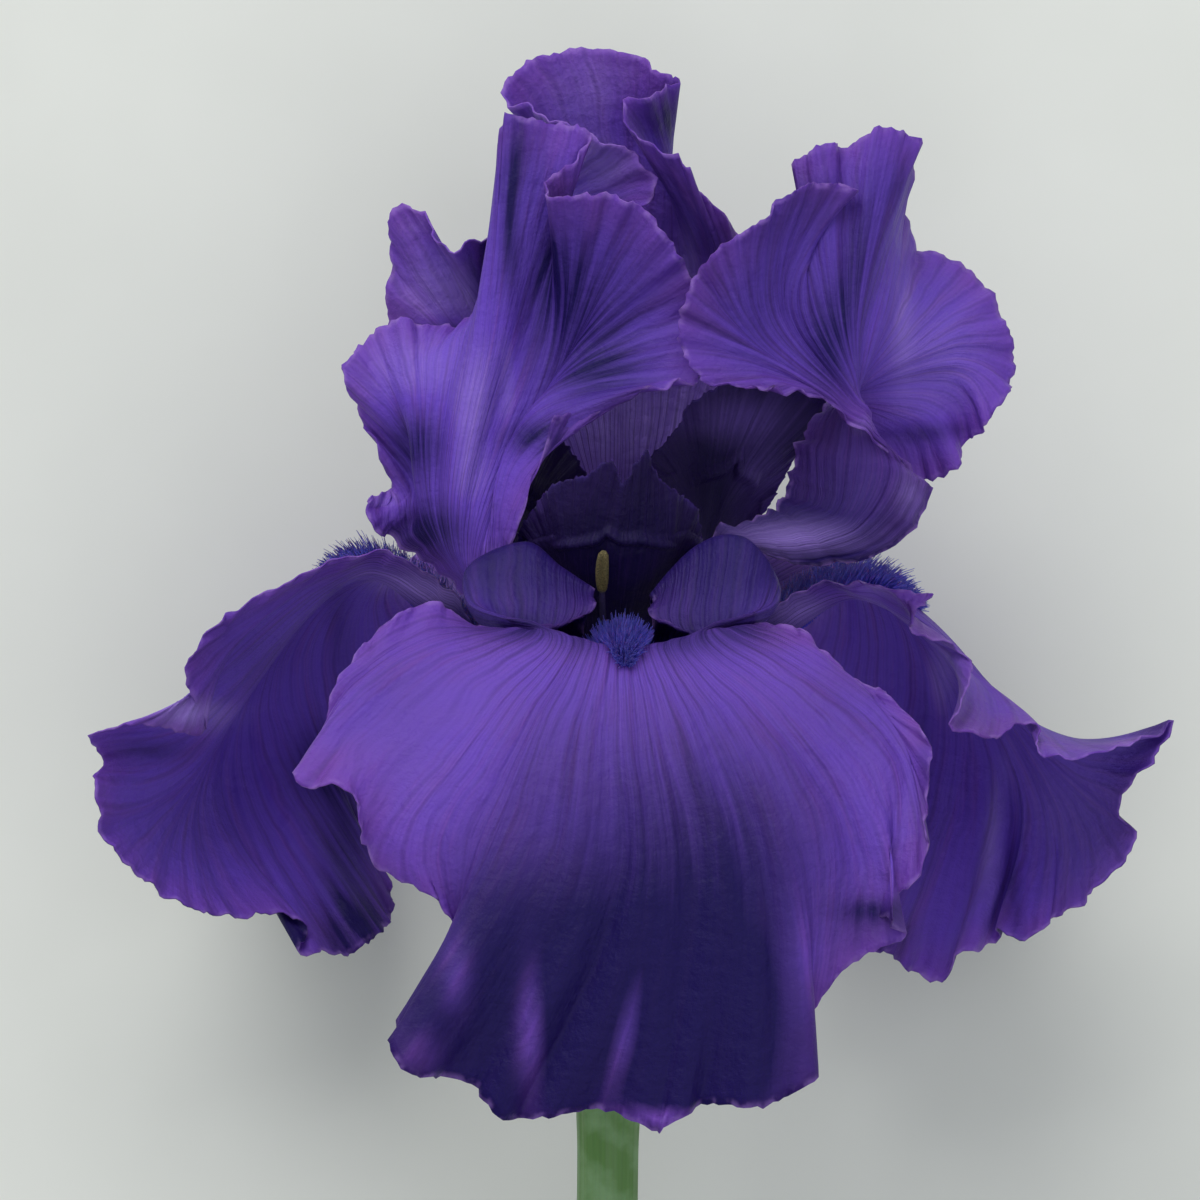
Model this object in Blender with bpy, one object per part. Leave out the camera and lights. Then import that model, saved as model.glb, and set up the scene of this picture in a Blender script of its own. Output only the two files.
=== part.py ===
"""A cut bearded iris flower, lying on its back.

The flower is drawn in its own frame, in millimetres: the origin is the mouth of the perianth tube,
where all the petals are joined, +X runs across the flower, +Y from the stem towards the tips of the
standards, and +Z out of the front fall.  The flower's axis leans AXIS_LEAN degrees out of that XY plane.
An empty then lays the whole flower down on its two rear falls and on the cut end of the stem.

Every petal is a lofted sheet.  Its rows run across it from its left margin to its right one, from the
claw to the blade; the middle point of a row lies on the midrib, and the last row is the blade's whole
outline.  Smooth curves through the points of each row, then through the rows, make the sheet.
"""

from dataclasses import dataclass
from math import cos, pi, radians, sin

import bpy
import numpy as np

MM = 0.001

# How the flower lies
AXIS_LEAN = 10.0  # degrees between the flower's axis and its XY plane
LAID_PITCH = 4.40  # degrees the laid flower is tipped about X, stem end down
LAID_ROLL = 0.55  # degrees the laid flower is tipped about Y

# Stem, ovary and tube: distances along the axis below the tube's mouth, and radii
TUBE_SPAN, TUBE_RADIUS = (1.2, 20.0), (4.6, 3.4)
OVARY_SPAN, OVARY_RADIUS = (20.3, 44.0), 5.4
STEM_SPAN, STEM_RADIUS = (44.3, 172.0), 4.2
SPATHE_FOOT = 50.0  # distance below the tube's mouth where the spathes clasp the stem
BEARD_RADIUS = 2.2
BEARD_REACH = (0.16, 0.52)  # share of the fall's length that the beard covers
STAMEN_REACH = {"front": 0.78, "left": 0.6, "right": 0.6}  # share of the style arm's length to each tip

PETAL_THICKNESS = 0.8
STYLE_THICKNESS = 1.0
SPATHE_THICKNESS = 0.6
PETAL_GRID = (14, 25)  # samples along a petal and across it
STYLE_GRID = (8, 9)

VIOLET = (0.150, 0.055, 0.420)
DEEP_VIOLET = (0.070, 0.030, 0.260)
BEARD_BLUE = (0.130, 0.110, 0.600)
POLLEN = (0.420, 0.350, 0.160)
GREEN = (0.200, 0.330, 0.120)
PAPER_GREEN = (0.420, 0.460, 0.240)


def axis_point(side, out, up):
    """A point given by its distances to the side of the axis, out of the front and up the axis."""
    lean = radians(AXIS_LEAN)
    return np.array([side, up * cos(lean) - out * sin(lean), up * sin(lean) + out * cos(lean)])


def tube_mouth(azimuth, radius, half_width):
    """The three base points of a petal on the mouth of the tube, at an angle round it from the front."""
    turn = radians(azimuth)
    points = []
    for step in (-1, 0, 1):
        reach = radius - 0.35 * half_width * abs(step)
        side = reach * sin(turn) + step * half_width * cos(turn)
        out = reach * cos(turn) - step * half_width * sin(turn)
        points.append(tuple(axis_point(side, out, 0.0)))
    return points


@dataclass(frozen=True)
class Petal:
    """A petal's rows of points across it, from its base to its outline."""

    name: str
    rows: tuple


FALL_FRONT = (
    tube_mouth(0, 5.5, 2.6),
    (
        (-4, 12, 13), (-7, 12, 12), (-8, 8, 12), (-4, 4, 12), (0.5, 3, 12), (5, 4, 12), (9, 8, 12),
        (8, 12, 12), (5, 12, 13),
    ),
    (
        (-2.5, 20.5, 20), (-7, 23.2, 19.5), (-12.5, 26.5, 18), (-20, 23, 18), (-16, 14, 20),
        (-8, 9.5, 20), (0.5, 8, 20), (8, 9.5, 20), (16.5, 14, 20.5), (22.5, 20.5, 21), (18.5, 27, 22),
        (12, 26, 20.5), (5.3, 19.8, 20),
    ),
    (
        (-2.6, 17.8, 24), (-7, 17, 25.2), (-12.5, 17, 25), (-19.5, 19, 23), (-15, 13, 24),
        (-8, 10.5, 24.5), (0.5, 9.5, 24.5), (8, 10.5, 24.5), (16.5, 13, 24.5), (22, 18.5, 25),
        (17, 18, 27), (11, 16.4, 26), (5.2, 17, 24),
    ),
    (
        (-17, 15.5, 27), (-11, 15, 33), (-5, 14, 36), (1.5, 12.5, 38), (8, 13.5, 36), (14, 15, 33),
        (20, 16, 27),
    ),
    (
        (-24, 19, 31), (-24, 11, 38), (-16, 5, 44), (-8, 2, 47), (2, 1, 48), (12, 2, 47), (20, 5, 44),
        (27, 9, 39), (26, 15, 32),
    ),
    (
        (-30, 16.5, 34), (-35, 5, 41), (-31, -5, 47), (-22, -12, 51), (-11, -17, 53), (3, -19, 54),
        (15, -17, 54), (25, -12, 53), (34, -6, 49), (38, 1, 43), (31, 9.5, 36),
    ),
    (
        (-33, 12.5, 34), (-37, 9, 38), (-40, -1, 41), (-42, -5.3, 46), (-36.5, -6.2, 49), (-34, -11, 49),
        (-32, -16, 47), (-23, -21.5, 51), (-18.5, -29, 47), (-29, -37.5, 57), (-27.5, -43.5, 60),
        (-19, -45, 54), (-14, -50, 56), (-2, -48.5, 53), (6, -51.5, 58), (12, -48, 55), (20, -48, 58),
        (27, -44, 55), (26, -38, 52), (31, -30, 52), (39, -24.5, 55), (35, -22, 50), (41, -17, 53),
        (42, -9, 50), (42.5, 0, 46), (36, 7.5, 38),
    ),
)
FALL_LEFT = (
    tube_mouth(-120, 5.5, 2.6),
    ((-10, 11, -13), (-13, 8, -7), (-16, 12, -3)),
    ((-18, 18, -21), (-21, 12.5, -13), (-22.5, 20.5, -4)),
    ((-23, 25, -27), (-30, 22, -22), (-34, 23, -17), (-33, 22.5, -11), (-30, 25.5, -6)),
    (
        (-28, 23, -37), (-38, 13, -43), (-48, 3, -42), (-55, -5, -38), (-58, -8, -31), (-60, -8, -23),
        (-60, -2, -15), (-55, 9, -8), (-45, 22, -3),
    ),
    (
        (-25, 19, -43), (-27, 10, -49), (-31, 0, -52), (-35, -9, -50), (-34, -17, -45), (-31, -24, -38),
        (-33, -28, -30), (-37, -30.5, -24), (-43, -30, -18), (-43.2, -26.5, -19.5), (-47, -25, -20),
        (-52, -25, -17), (-58, -24.5, -12), (-63, -21, -9), (-68, -17, -5), (-71.5, -11, -3),
        (-72, -6, -3), (-70, -3, -6), (-72, 0, -2), (-66, 2, -3), (-57, 1, -12), (-59, 9, -4),
        (-54, 17.5, -1),
    ),
)
FALL_RIGHT = (
    tube_mouth(120, 5.5, 2.6),
    ((15, 12, -2), (13, 8, -7), (10, 11, -13)),
    ((22.5, 18.5, -3), (21, 12, -13), (17, 22, -20)),
    ((29, 21.5, -4), (33, 19.5, -10), (35, 21, -17), (32, 22, -23), (25, 28, -28)),
    (
        (38, 21, 0), (46, 12, -6), (55, 5, -12), (62, -1, -20), (62, -6, -28), (57, -6, -36),
        (49, 0, -42), (38, 12, -43), (28, 24, -37),
    ),
    (
        (44, 19.5, -2), (41, 15, 4), (49, 12, 0), (49, 7, 5), (47, 2, 6), (52, 0.5, 3), (58, 1.5, -4),
        (61, -2.5, 4), (70, -0.5, 2), (78, 3, -4), (74, -3.5, -2), (71, -9, -8), (72, -15, -6),
        (66, -22, -10), (62, -26, -16), (57, -28, -12), (54, -28, -20), (50, -31, -15), (46, -34, -17),
        (42, -33, -20), (38, -30, -27), (32, -31, -32), (33, -24, -40), (34, -14, -47), (31, -3, -51),
        (28, 8, -48), (25, 18, -43),
    ),
)
STANDARD_LEFT = (
    tube_mouth(-60, 4.2, 1.9),
    ((-9.5, 11, 2.5), (-10, 10, 5), (-8, 9, 8)),
    ((-27, 25.5, 2), (-24, 27, 8), (-21, 26, 12), (-18, 23, 13.5), (-14.5, 20, 12.5)),
    (
        (-33, 29, 7), (-28, 36, 3), (-28, 47, 8), (-21, 54, 7), (-16.5, 60, 10), (-10, 59, 6),
        (-6, 53, 8), (-10, 45, 13), (-11.4, 33, 16.5),
    ),
    (
        (-34, 33, 6), (-28.5, 36.5, 0), (-32, 39, 3), (-35, 45, 2), (-37, 51, 7), (-33, 56, 2),
        (-28, 58, 3), (-22, 57, -1), (-18, 60, -2), (-15, 69, 3), (-15, 79, 5), (-15.3, 86, 7),
        (-9, 85, 7), (-3.5, 84, 9), (-5, 80, 10), (-9.5, 75, 14), (0, 74.5, 17), (7, 70, 15),
        (12, 60, 12), (12, 50, 14), (5, 48.5, 16.5), (1, 46, 15), (-8, 44.5, 16.5),
    ),
)
STANDARD_RIGHT = (
    tube_mouth(60, 4.2, 1.9),
    ((10, 15, 9), (10.5, 16.5, 7.5), (9.5, 18.5, 6)),
    ((17, 26, 17), (15.5, 27.3, 16), (14, 28.5, 13.5)),
    ((27, 24, 18), (25, 27, 18.5), (22.5, 30, 15), (21, 31, 12)),
    ((37.5, 26, 16), (33, 29.5, 17), (29, 32, 13.5), (23.8, 34, 8)),
    ((43.5, 34, 11), (39, 36.5, 14), (33, 38, 13.5), (28.2, 39.5, 9), (25.6, 40, 5)),
    ((35, 41.5, 16), (35, 44, 15), (33.5, 46, 12.5), (31, 46, 7), (28.5, 45, 3)),
    (
        (28, 46.8, 17), (20, 54, 15), (24, 60, 13), (31, 60, 13), (35, 60, 11.5), (41, 57, 2),
        (47, 52, -2), (42, 44, -2), (33, 42.5, -2),
    ),
    (
        (21.5, 47.8, 19), (12.5, 49.6, 18.5), (9, 57, 17), (13, 66, 18), (20, 71, 18), (26, 76, 16),
        (33, 76, 11), (25, 79, 7), (29, 82, 9), (33, 82, 6), (37, 84.5, 7), (42.5, 82, 3), (40, 75, -3),
        (43, 69, -7), (50, 65, -9), (54, 59, -7), (56, 51, -7), (52, 44, -1), (49, 41, -5), (47, 37, -2),
        (43, 36, -6), (39, 37, -5), (35, 39, -5),
    ),
)
STANDARD_BACK = (
    tube_mouth(180, 4.2, 1.9)[::-1],
    ((-4, 14, -10), (1, 13, -13), (5, 14, -10)),
    ((-9, 31, -15), (-4, 30, -19), (1, 29, -20), (7, 30, -19), (11, 31, -15)),
    (
        (-17, 44, -8), (-20, 54, -11), (-17, 64, -13), (-8, 72, -13), (-1, 74, -13), (7, 72, -11),
        (15, 64, -8), (20, 54, -7), (17, 45, -10),
    ),
    (
        (-20, 49, -4), (-25, 53, -8), (-31, 57, -13), (-31, 66, -12), (-31, 73, -9), (-27, 74, -9),
        (-22, 68, -3), (-12, 71, -2), (4, 74, 3), (5, 79, 3), (-2, 83.5, 2), (-10, 86, 1),
        (-15, 89.5, -4), (-12, 94, -7), (-4, 96, -8), (3, 95, -6), (7, 92.5, -2), (9.5, 91, 1),
        (2, 88, 6), (2.5, 84, 7), (9, 80, 6), (11, 77, 2), (15, 73, -2), (18, 69, -4), (20, 64, -1),
        (20, 60, -1), (21, 55, -3), (19, 50, -7),
    ),
)
STYLE_FRONT = (
    tube_mouth(0, 1.9, 1.0),
    ((-3.5, 8, 4.5), (0, 8.5, 6.5), (3.5, 8, 4.5)),
    ((-7, 17, 7.5), (0, 17, 12.5), (7, 17, 7.5)),
    ((-11, 25.5, 11), (-5, 26, 16.5), (0.5, 26.5, 18.5), (6, 26, 16.5), (11, 25.5, 11)),
    (
        (-13, 27, 10), (-11.5, 31, 14), (-8, 35, 18), (-3.7, 36.3, 21), (-0.3, 38.3, 23),
        (1.3, 35.5, 21.5), (3, 37, 22.5), (4.5, 39.7, 22), (5.5, 37, 20), (8, 34.5, 18), (11.5, 32, 14),
        (12.5, 27.5, 11),
    ),
)
STYLE_LEFT = (
    tube_mouth(-120, 1.9, 1.0),
    ((-6, 9.5, -5.5), (-6.5, 8.5, -2), (-4.5, 8, 1)),
    ((-13, 20, -7), (-12, 20, -3), (-8, 18, 1)),
    ((-17, 31, -9), (-13, 30, -6), (-9, 30, -3)),
    (
        (-19, 36, -9), (-18, 43, -8), (-14, 45.5, -6), (-10, 44.5, -3), (-6, 40.5, 0), (-3.6, 36, 1),
        (-5, 31, 0),
    ),
)
STYLE_RIGHT = (
    tube_mouth(120, 1.9, 1.0),
    ((4.5, 8, 1), (6.5, 8.5, -2), (6, 9.5, -5.5)),
    ((8, 18, 1), (12, 20, -3), (13, 20, -7)),
    ((9, 30, -2), (14, 31, -6), (19, 29, -9)),
    (
        (6, 33, 1), (4.7, 37.5, 1), (8.4, 42.5, 0), (13, 48, -1), (22, 51, -3), (30.5, 47, -5),
        (26.5, 40.5, -8), (23, 34.5, -9), (20.5, 30, -9),
    ),
)

PETALS = (
    Petal("fall_front", FALL_FRONT),
    Petal("fall_left", FALL_LEFT),
    Petal("fall_right", FALL_RIGHT),
    Petal("standard_left", STANDARD_LEFT),
    Petal("standard_right", STANDARD_RIGHT),
    Petal("standard_back", STANDARD_BACK),
)
STYLE_ARMS = (
    Petal("style_arm_front", STYLE_FRONT),
    Petal("style_arm_left", STYLE_LEFT),
    Petal("style_arm_right", STYLE_RIGHT),
)


def spline(points, knots, samples):
    """A cubic curve through points given at rising knots, read at the samples (Catmull-Rom slopes)."""
    points, knots = np.asarray(points, float), np.asarray(knots, float)
    column = (-1,) + (1,) * (points.ndim - 1)
    step = np.diff(knots).reshape(column)
    chord = np.diff(points, axis=0) / step
    slope = np.empty_like(points)
    share = step[1:] / (step[:-1] + step[1:])
    slope[1:-1] = chord[:-1] * share + chord[1:] * (1 - share)
    slope[0] = 1.5 * chord[0] - 0.5 * slope[1]
    slope[-1] = 1.5 * chord[-1] - 0.5 * slope[-2]
    span = np.clip(np.searchsorted(knots, samples, side="right") - 1, 0, len(knots) - 2)
    width = (knots[span + 1] - knots[span]).reshape(column)
    u = ((samples - knots[span]).reshape(column)) / width
    return (
        (2 * u**3 - 3 * u**2 + 1) * points[span]
        + (u**3 - 2 * u**2 + u) * width * slope[span]
        + (3 * u**2 - 2 * u**3) * points[span + 1]
        + (u**3 - u**2) * width * slope[span + 1]
    )


def loft(rows, ranks, columns):
    """A grid of points, ranks by columns, on the smooth sheet through the rows."""
    across = np.linspace(0, 1, columns)
    lines = np.array([spline(row, np.linspace(0, 1, len(row)), across) for row in rows])
    gaps = np.linalg.norm(np.diff(lines, axis=0), axis=2).mean(axis=1)
    levels = np.concatenate([[0], np.cumsum(gaps)]) / gaps.sum()
    return spline(lines, levels, np.linspace(0, 1, ranks))


def sheet_normals(grid):
    """Unit normals of a grid of points, from the directions along it and across it."""
    along, across = np.gradient(grid, axis=0), np.gradient(grid, axis=1)
    normal = np.cross(along, across)
    return normal / np.maximum(np.linalg.norm(normal, axis=2, keepdims=True), 1e-9)


def thick_sheet(grid, thickness):
    """Vertices and faces of a closed sheet of even thickness about a grid of points."""
    ranks, columns = grid.shape[:2]
    offset = sheet_normals(grid) * thickness / 2
    verts = np.concatenate([(grid + offset).reshape(-1, 3), (grid - offset).reshape(-1, 3)])
    index = np.arange(ranks * columns).reshape(ranks, columns)
    back = index + ranks * columns
    faces = []
    for i in range(ranks - 1):
        for j in range(columns - 1):
            faces.append((index[i, j], index[i + 1, j], index[i + 1, j + 1], index[i, j + 1]))
            faces.append((back[i, j], back[i, j + 1], back[i + 1, j + 1], back[i + 1, j]))
    border = [*index[0, :-1], *index[:-1, -1], *index[-1, :0:-1], *index[:0:-1, 0]]
    for here, there in zip(border, border[1:] + border[:1]):
        faces.append((here, there, there + ranks * columns, here + ranks * columns))
    return verts, faces


def ring_body(path, radii, sides, lobes=0, lobe_depth=0.0, flatness=1.0):
    """Vertices and faces of a closed round body swept along a path, with its ends capped.

    Its section may have lobes, each lobe_depth of the radius deep, and be flattened by flatness.
    """
    path = np.asarray(path, float)
    forward = np.gradient(path, axis=0)
    forward /= np.linalg.norm(forward, axis=1, keepdims=True)
    side = np.cross(forward, (0.0, 0.0, 1.0))
    flat = np.linalg.norm(side, axis=1) < 0.1
    side[flat] = (1.0, 0.0, 0.0)
    side /= np.linalg.norm(side, axis=1, keepdims=True)
    rise = np.cross(forward, side)
    turn = np.linspace(0, 2 * pi, sides, endpoint=False)
    shape = 1 + lobe_depth * np.cos(lobes * turn)
    circle = np.stack([np.cos(turn) * shape, np.sin(turn) * shape * flatness], axis=1)
    radii = np.broadcast_to(radii, len(path)).astype(float)
    rings = path[:, None] + radii[:, None, None] * (
        circle[None, :, :1] * side[:, None] + circle[None, :, 1:] * rise[:, None]
    )
    faces = []
    for i in range(len(path) - 1):
        for j in range(sides):
            k = (j + 1) % sides
            faces.append((i * sides + j, i * sides + k, (i + 1) * sides + k, (i + 1) * sides + j))
    faces.append(tuple(range(sides))[::-1])
    faces.append(tuple(range((len(path) - 1) * sides, len(path) * sides)))
    return rings.reshape(-1, 3), faces


def stem_point(down):
    """A point of the stem's gently bowed centre line, by its distance below the tube's mouth."""
    bow = -5.0 * max(down - 60.0, 0.0) ** 2 / 112.0**2
    return axis_point(-0.010 * down, bow, -down)


def material(name, colour, roughness):
    """A matt, non-metallic material in a linear RGB colour."""
    made = bpy.data.materials.new(name)
    made.use_nodes = True
    shader = made.node_tree.nodes["Principled BSDF"]
    shader.inputs["Base Color"].default_value = (*colour, 1.0)
    shader.inputs["Roughness"].default_value = roughness
    shader.inputs["Metallic"].default_value = 0.0
    return made


def add_piece(name, body, surface, parent):
    """A named object from vertices in millimetres and faces, smooth shaded and laid with its parent."""
    verts, faces = body
    mesh = bpy.data.meshes.new(name)
    places = [tuple(float(c) * MM for c in vert) for vert in verts]
    mesh.from_pydata(places, [], [tuple(map(int, face)) for face in faces])
    mesh.materials.append(material(name, *surface))
    mesh.shade_smooth()
    made = bpy.data.objects.new(name, mesh)
    bpy.context.collection.objects.link(made)
    made.parent = parent
    return made


def stamen_body(sheet, top):
    """A thin filament with a long anther, close under its style arm's sheet up to a share of its length."""
    middle = sheet.shape[1] // 2
    ranks = np.linspace(0, 1, len(sheet))
    climb = np.linspace(0.06, top, 9)
    spine = spline(sheet[:, middle], ranks, climb)
    rise = spline(sheet_normals(sheet)[:, middle], ranks, climb)
    girth = np.interp(np.linspace(0, 1, 9), (0, 0.72, 0.8, 0.94, 1), (0.5, 0.4, 0.8, 0.75, 0.4))
    return ring_body(spine - rise * (STYLE_THICKNESS / 2 + 1.5), girth, 8)


def beard_body(sheet):
    """A beard: a soft ridge standing on a fall's midrib, from its haft over the arch to the blade."""
    middle = sheet.shape[1] // 2
    ranks = np.linspace(0, 1, len(sheet))
    reach = np.linspace(*BEARD_REACH, 10)
    spine = spline(sheet[:, middle], ranks, reach)
    rise = spline(sheet_normals(sheet)[:, middle], ranks, reach)
    girth = BEARD_RADIUS * np.sin(np.linspace(0.15 * pi, 0.9 * pi, 10)) ** 0.6
    lift = (PETAL_THICKNESS / 2 + 0.4 + girth)[:, None]
    return ring_body(spine + rise * lift, girth, 10)


def spathe_body(radius, facing, half_angle, tip_down):
    """A papery bract wrapped round the ovary, clasping the stem below and coming to a point above."""
    rise = np.linspace(0, 1, 10)
    grid = np.empty((10, 13, 3))
    for i, t in enumerate(rise):
        down = SPATHE_FOOT + (tip_down - SPATHE_FOOT) * t
        reach = radius + (radius - 1.0) * 0.12 * sin(pi * t) - 1.0 * (1 - t) ** 3
        spread = radians(half_angle) * max(1 - t**2.2, 0.08)
        for j, turn in enumerate(np.linspace(-spread, spread, 13)):
            angle = radians(facing) + turn
            grid[i, j] = stem_point(down) + axis_point(reach * sin(angle), reach * cos(angle), 0)
    return thick_sheet(grid, SPATHE_THICKNESS)


def build():
    """The whole flower, laid down under one empty."""
    pose = bpy.data.objects.new("laid_flower", None)
    bpy.context.collection.objects.link(pose)
    petal_skin, dark_skin = (VIOLET, 0.55), (DEEP_VIOLET, 0.55)

    sheets = {}
    for petal in PETALS:
        sheets[petal.name] = loft(petal.rows, *PETAL_GRID)
        add_piece(petal.name, thick_sheet(sheets[petal.name], PETAL_THICKNESS), petal_skin, pose)
    for arm in STYLE_ARMS:
        sheets[arm.name] = loft(arm.rows, *STYLE_GRID)
        add_piece(arm.name, thick_sheet(sheets[arm.name], STYLE_THICKNESS), dark_skin, pose)
    for place, top in STAMEN_REACH.items():
        add_piece(f"stamen_{place}", stamen_body(sheets[f"style_arm_{place}"], top), (POLLEN, 0.7), pose)
        add_piece(f"beard_{place}", beard_body(sheets[f"fall_{place}"]), (BEARD_BLUE, 0.8), pose)

    down = np.linspace(*TUBE_SPAN, 6)
    tube = ring_body([stem_point(d) for d in down], np.interp(down, TUBE_SPAN, TUBE_RADIUS), 18)
    add_piece("perianth_tube", tube, (GREEN, 0.5), pose)
    down = np.linspace(*OVARY_SPAN, 10)
    swell = np.sin(np.linspace(0.25 * pi, 0.75 * pi, 10)) ** 0.8
    ovary = ring_body([stem_point(d) for d in down], OVARY_RADIUS * swell, 18, lobes=3, lobe_depth=0.08)
    add_piece("ovary", ovary, (GREEN, 0.5), pose)
    down = np.linspace(*STEM_SPAN, 12)
    add_piece("stem", ring_body([stem_point(d) for d in down], STEM_RADIUS, 16), (GREEN, 0.5), pose)
    add_piece("outer_spathe", spathe_body(7.2, 200, 110, 8.0), (PAPER_GREEN, 0.6), pose)
    add_piece("inner_spathe", spathe_body(6.2, 20, 100, 14.0), (PAPER_GREEN, 0.6), pose)

    pose.rotation_euler = (radians(LAID_PITCH), radians(LAID_ROLL), 0.0)
    bpy.context.view_layer.update()
    meshes = [made for made in bpy.data.objects if made.type == "MESH"]
    points = np.array([made.matrix_world @ vertex.co for made in meshes for vertex in made.data.vertices])
    low, high = points.min(axis=0), points.max(axis=0)
    pose.location = (-(low[0] + high[0]) / 2, -(low[1] + high[1]) / 2, -low[2])


for leftover in list(bpy.data.objects):
    bpy.data.objects.remove(leftover, do_unlink=True)
build()
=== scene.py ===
"""A cut bearded iris flower lying on its rear falls and stem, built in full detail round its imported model.

Every organ is drawn in the flower's own frame, in millimetres: the origin is the mouth of the perianth
tube, +X runs across the flower, +Y from the stem towards the tips of the standards and +Z out of the
front fall.  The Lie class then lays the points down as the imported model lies.
"""

import logging
from collections.abc import Callable
from dataclasses import dataclass
from enum import Enum
from functools import partial

import bpy
import numpy as np
from mathutils import Matrix, Vector


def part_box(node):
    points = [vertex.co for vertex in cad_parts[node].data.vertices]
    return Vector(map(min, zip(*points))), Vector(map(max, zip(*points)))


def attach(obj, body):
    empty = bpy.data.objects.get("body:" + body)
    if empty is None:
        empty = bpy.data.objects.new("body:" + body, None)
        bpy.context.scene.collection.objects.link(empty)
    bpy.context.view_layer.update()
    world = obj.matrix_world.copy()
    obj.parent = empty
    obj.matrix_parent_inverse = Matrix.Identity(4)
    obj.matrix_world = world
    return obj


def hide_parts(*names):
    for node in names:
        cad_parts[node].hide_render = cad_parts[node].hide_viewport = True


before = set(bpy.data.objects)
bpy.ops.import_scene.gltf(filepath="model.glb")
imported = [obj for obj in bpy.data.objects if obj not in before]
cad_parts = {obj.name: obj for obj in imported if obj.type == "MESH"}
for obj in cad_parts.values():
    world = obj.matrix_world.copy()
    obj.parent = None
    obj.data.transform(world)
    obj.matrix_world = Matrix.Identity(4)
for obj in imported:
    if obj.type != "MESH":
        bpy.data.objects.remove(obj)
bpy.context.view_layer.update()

log = logging.getLogger("iris")

MM = 0.001
WAVE_TURN = 20.0  # radians of a wave texture's bands for each unit at scale one
EASED = {"interpolation_type": "SMOOTHSTEP"}  # settings of a Map Range node
COLOURS = {"output": 2, "data_type": "RGBA"}  # settings of a Mix node
AXIS_LEAN = 10.0  # degrees between the flower's axis and its XY plane
LAID_PITCH, LAID_ROLL = 4.40, 0.55  # degrees the flower is tipped to lie on its falls and stem end

TUBE_SPAN, TUBE_RADIUS = (1.2, 20.0), (4.6, 3.4)
OVARY_SPAN, OVARY_RADIUS = (20.3, 44.0), 5.4
STEM_SPAN, STEM_RADIUS = (44.3, 172.0), 4.2
SPATHE_FOOT = 50.0

Rows = tuple  # rows of (x, y, z) points, in mm
Array = np.ndarray
Socket = bpy.types.NodeSocket


def axis_point(side: Array | float, out: Array | float, up: Array | float) -> Array:
    """Points in the flower's frame from distances about its axis.

    Args:
        side: Distances to the right of the axis.
        out: Distances out of the front.
        up: Distances up the axis.

    Returns:
        The points, with the axis leaning out of the XY plane by AXIS_LEAN.
    """
    lean = np.radians(AXIS_LEAN)
    side, out, up = np.broadcast_arrays(side, out, up)
    return np.stack(
        [side, up * np.cos(lean) - out * np.sin(lean), up * np.sin(lean) + out * np.cos(lean)], axis=-1
    )


def stem_point(down: Array) -> Array:
    """The stem's centre line: straight, then bowed back by the square of the distance past 60 mm.

    Args:
        down: Distances below the tube's mouth.

    Returns:
        The points in the flower's frame.
    """
    bow = -5.0 * np.maximum(down - 60.0, 0.0) ** 2 / 112.0**2
    return axis_point(-0.010 * down, bow, -down)


def tube_mouth(azimuth: float, radius: float, half_width: float) -> Rows:
    """The three base points of a petal on the mouth of the tube.

    Args:
        azimuth: Degrees round the mouth from the front.
        radius: Distance of the petal's middle from the axis.
        half_width: Half the width of the petal's base.

    Returns:
        Three points, left to right as seen from outside.
    """
    turn = np.radians(azimuth)
    step = np.array([-1, 0, 1])
    reach = radius - 0.35 * half_width * np.abs(step)
    side = reach * np.sin(turn) + step * half_width * np.cos(turn)
    out = reach * np.cos(turn) - step * half_width * np.sin(turn)
    return tuple(tuple(point) for point in axis_point(side, out, 0.0))


def spline(points: Array, knots: Array, samples: Array) -> Array:
    """A cubic curve through points, with slopes averaged from the chords on either side.

    Args:
        points: The points, or arrays of points, one for each knot.
        knots: Rising parameter values.
        samples: Parameter values to read the curve at.

    Returns:
        The curve at the samples, by the cubic Hermite formula in each span.
    """
    points, knots = np.asarray(points, float), np.asarray(knots, float)
    column = (-1,) + (1,) * (points.ndim - 1)
    step = np.diff(knots).reshape(column)
    chord = np.diff(points, axis=0) / step
    slope = np.empty_like(points)
    share = step[1:] / (step[:-1] + step[1:])
    slope[1:-1] = chord[:-1] * share + chord[1:] * (1 - share)
    slope[0] = 1.5 * chord[0] - 0.5 * slope[1]
    slope[-1] = 1.5 * chord[-1] - 0.5 * slope[-2]
    span = np.clip(np.searchsorted(knots, samples, side="right") - 1, 0, len(knots) - 2)
    width = (knots[span + 1] - knots[span]).reshape(column)
    u = (samples - knots[span]).reshape(column) / width
    return (
        (2 * u**3 - 3 * u**2 + 1) * points[span]
        + (u**3 - 2 * u**2 + u) * width * slope[span]
        + (3 * u**2 - 2 * u**3) * points[span + 1]
        + (u**3 - u**2) * width * slope[span + 1]
    )


def run_lengths(points: Array, axis: int) -> Array:
    """Distance travelled along one axis of a grid of points.

    Args:
        points: The grid.
        axis: The axis to travel along.

    Returns:
        The running sum of the steps between neighbours, starting at zero.
    """
    steps = np.linalg.norm(np.diff(points, axis=axis), axis=-1)
    start = np.zeros_like(np.take(steps, [0], axis=axis))
    return np.concatenate([start, np.cumsum(steps, axis=axis)], axis=axis)


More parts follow.
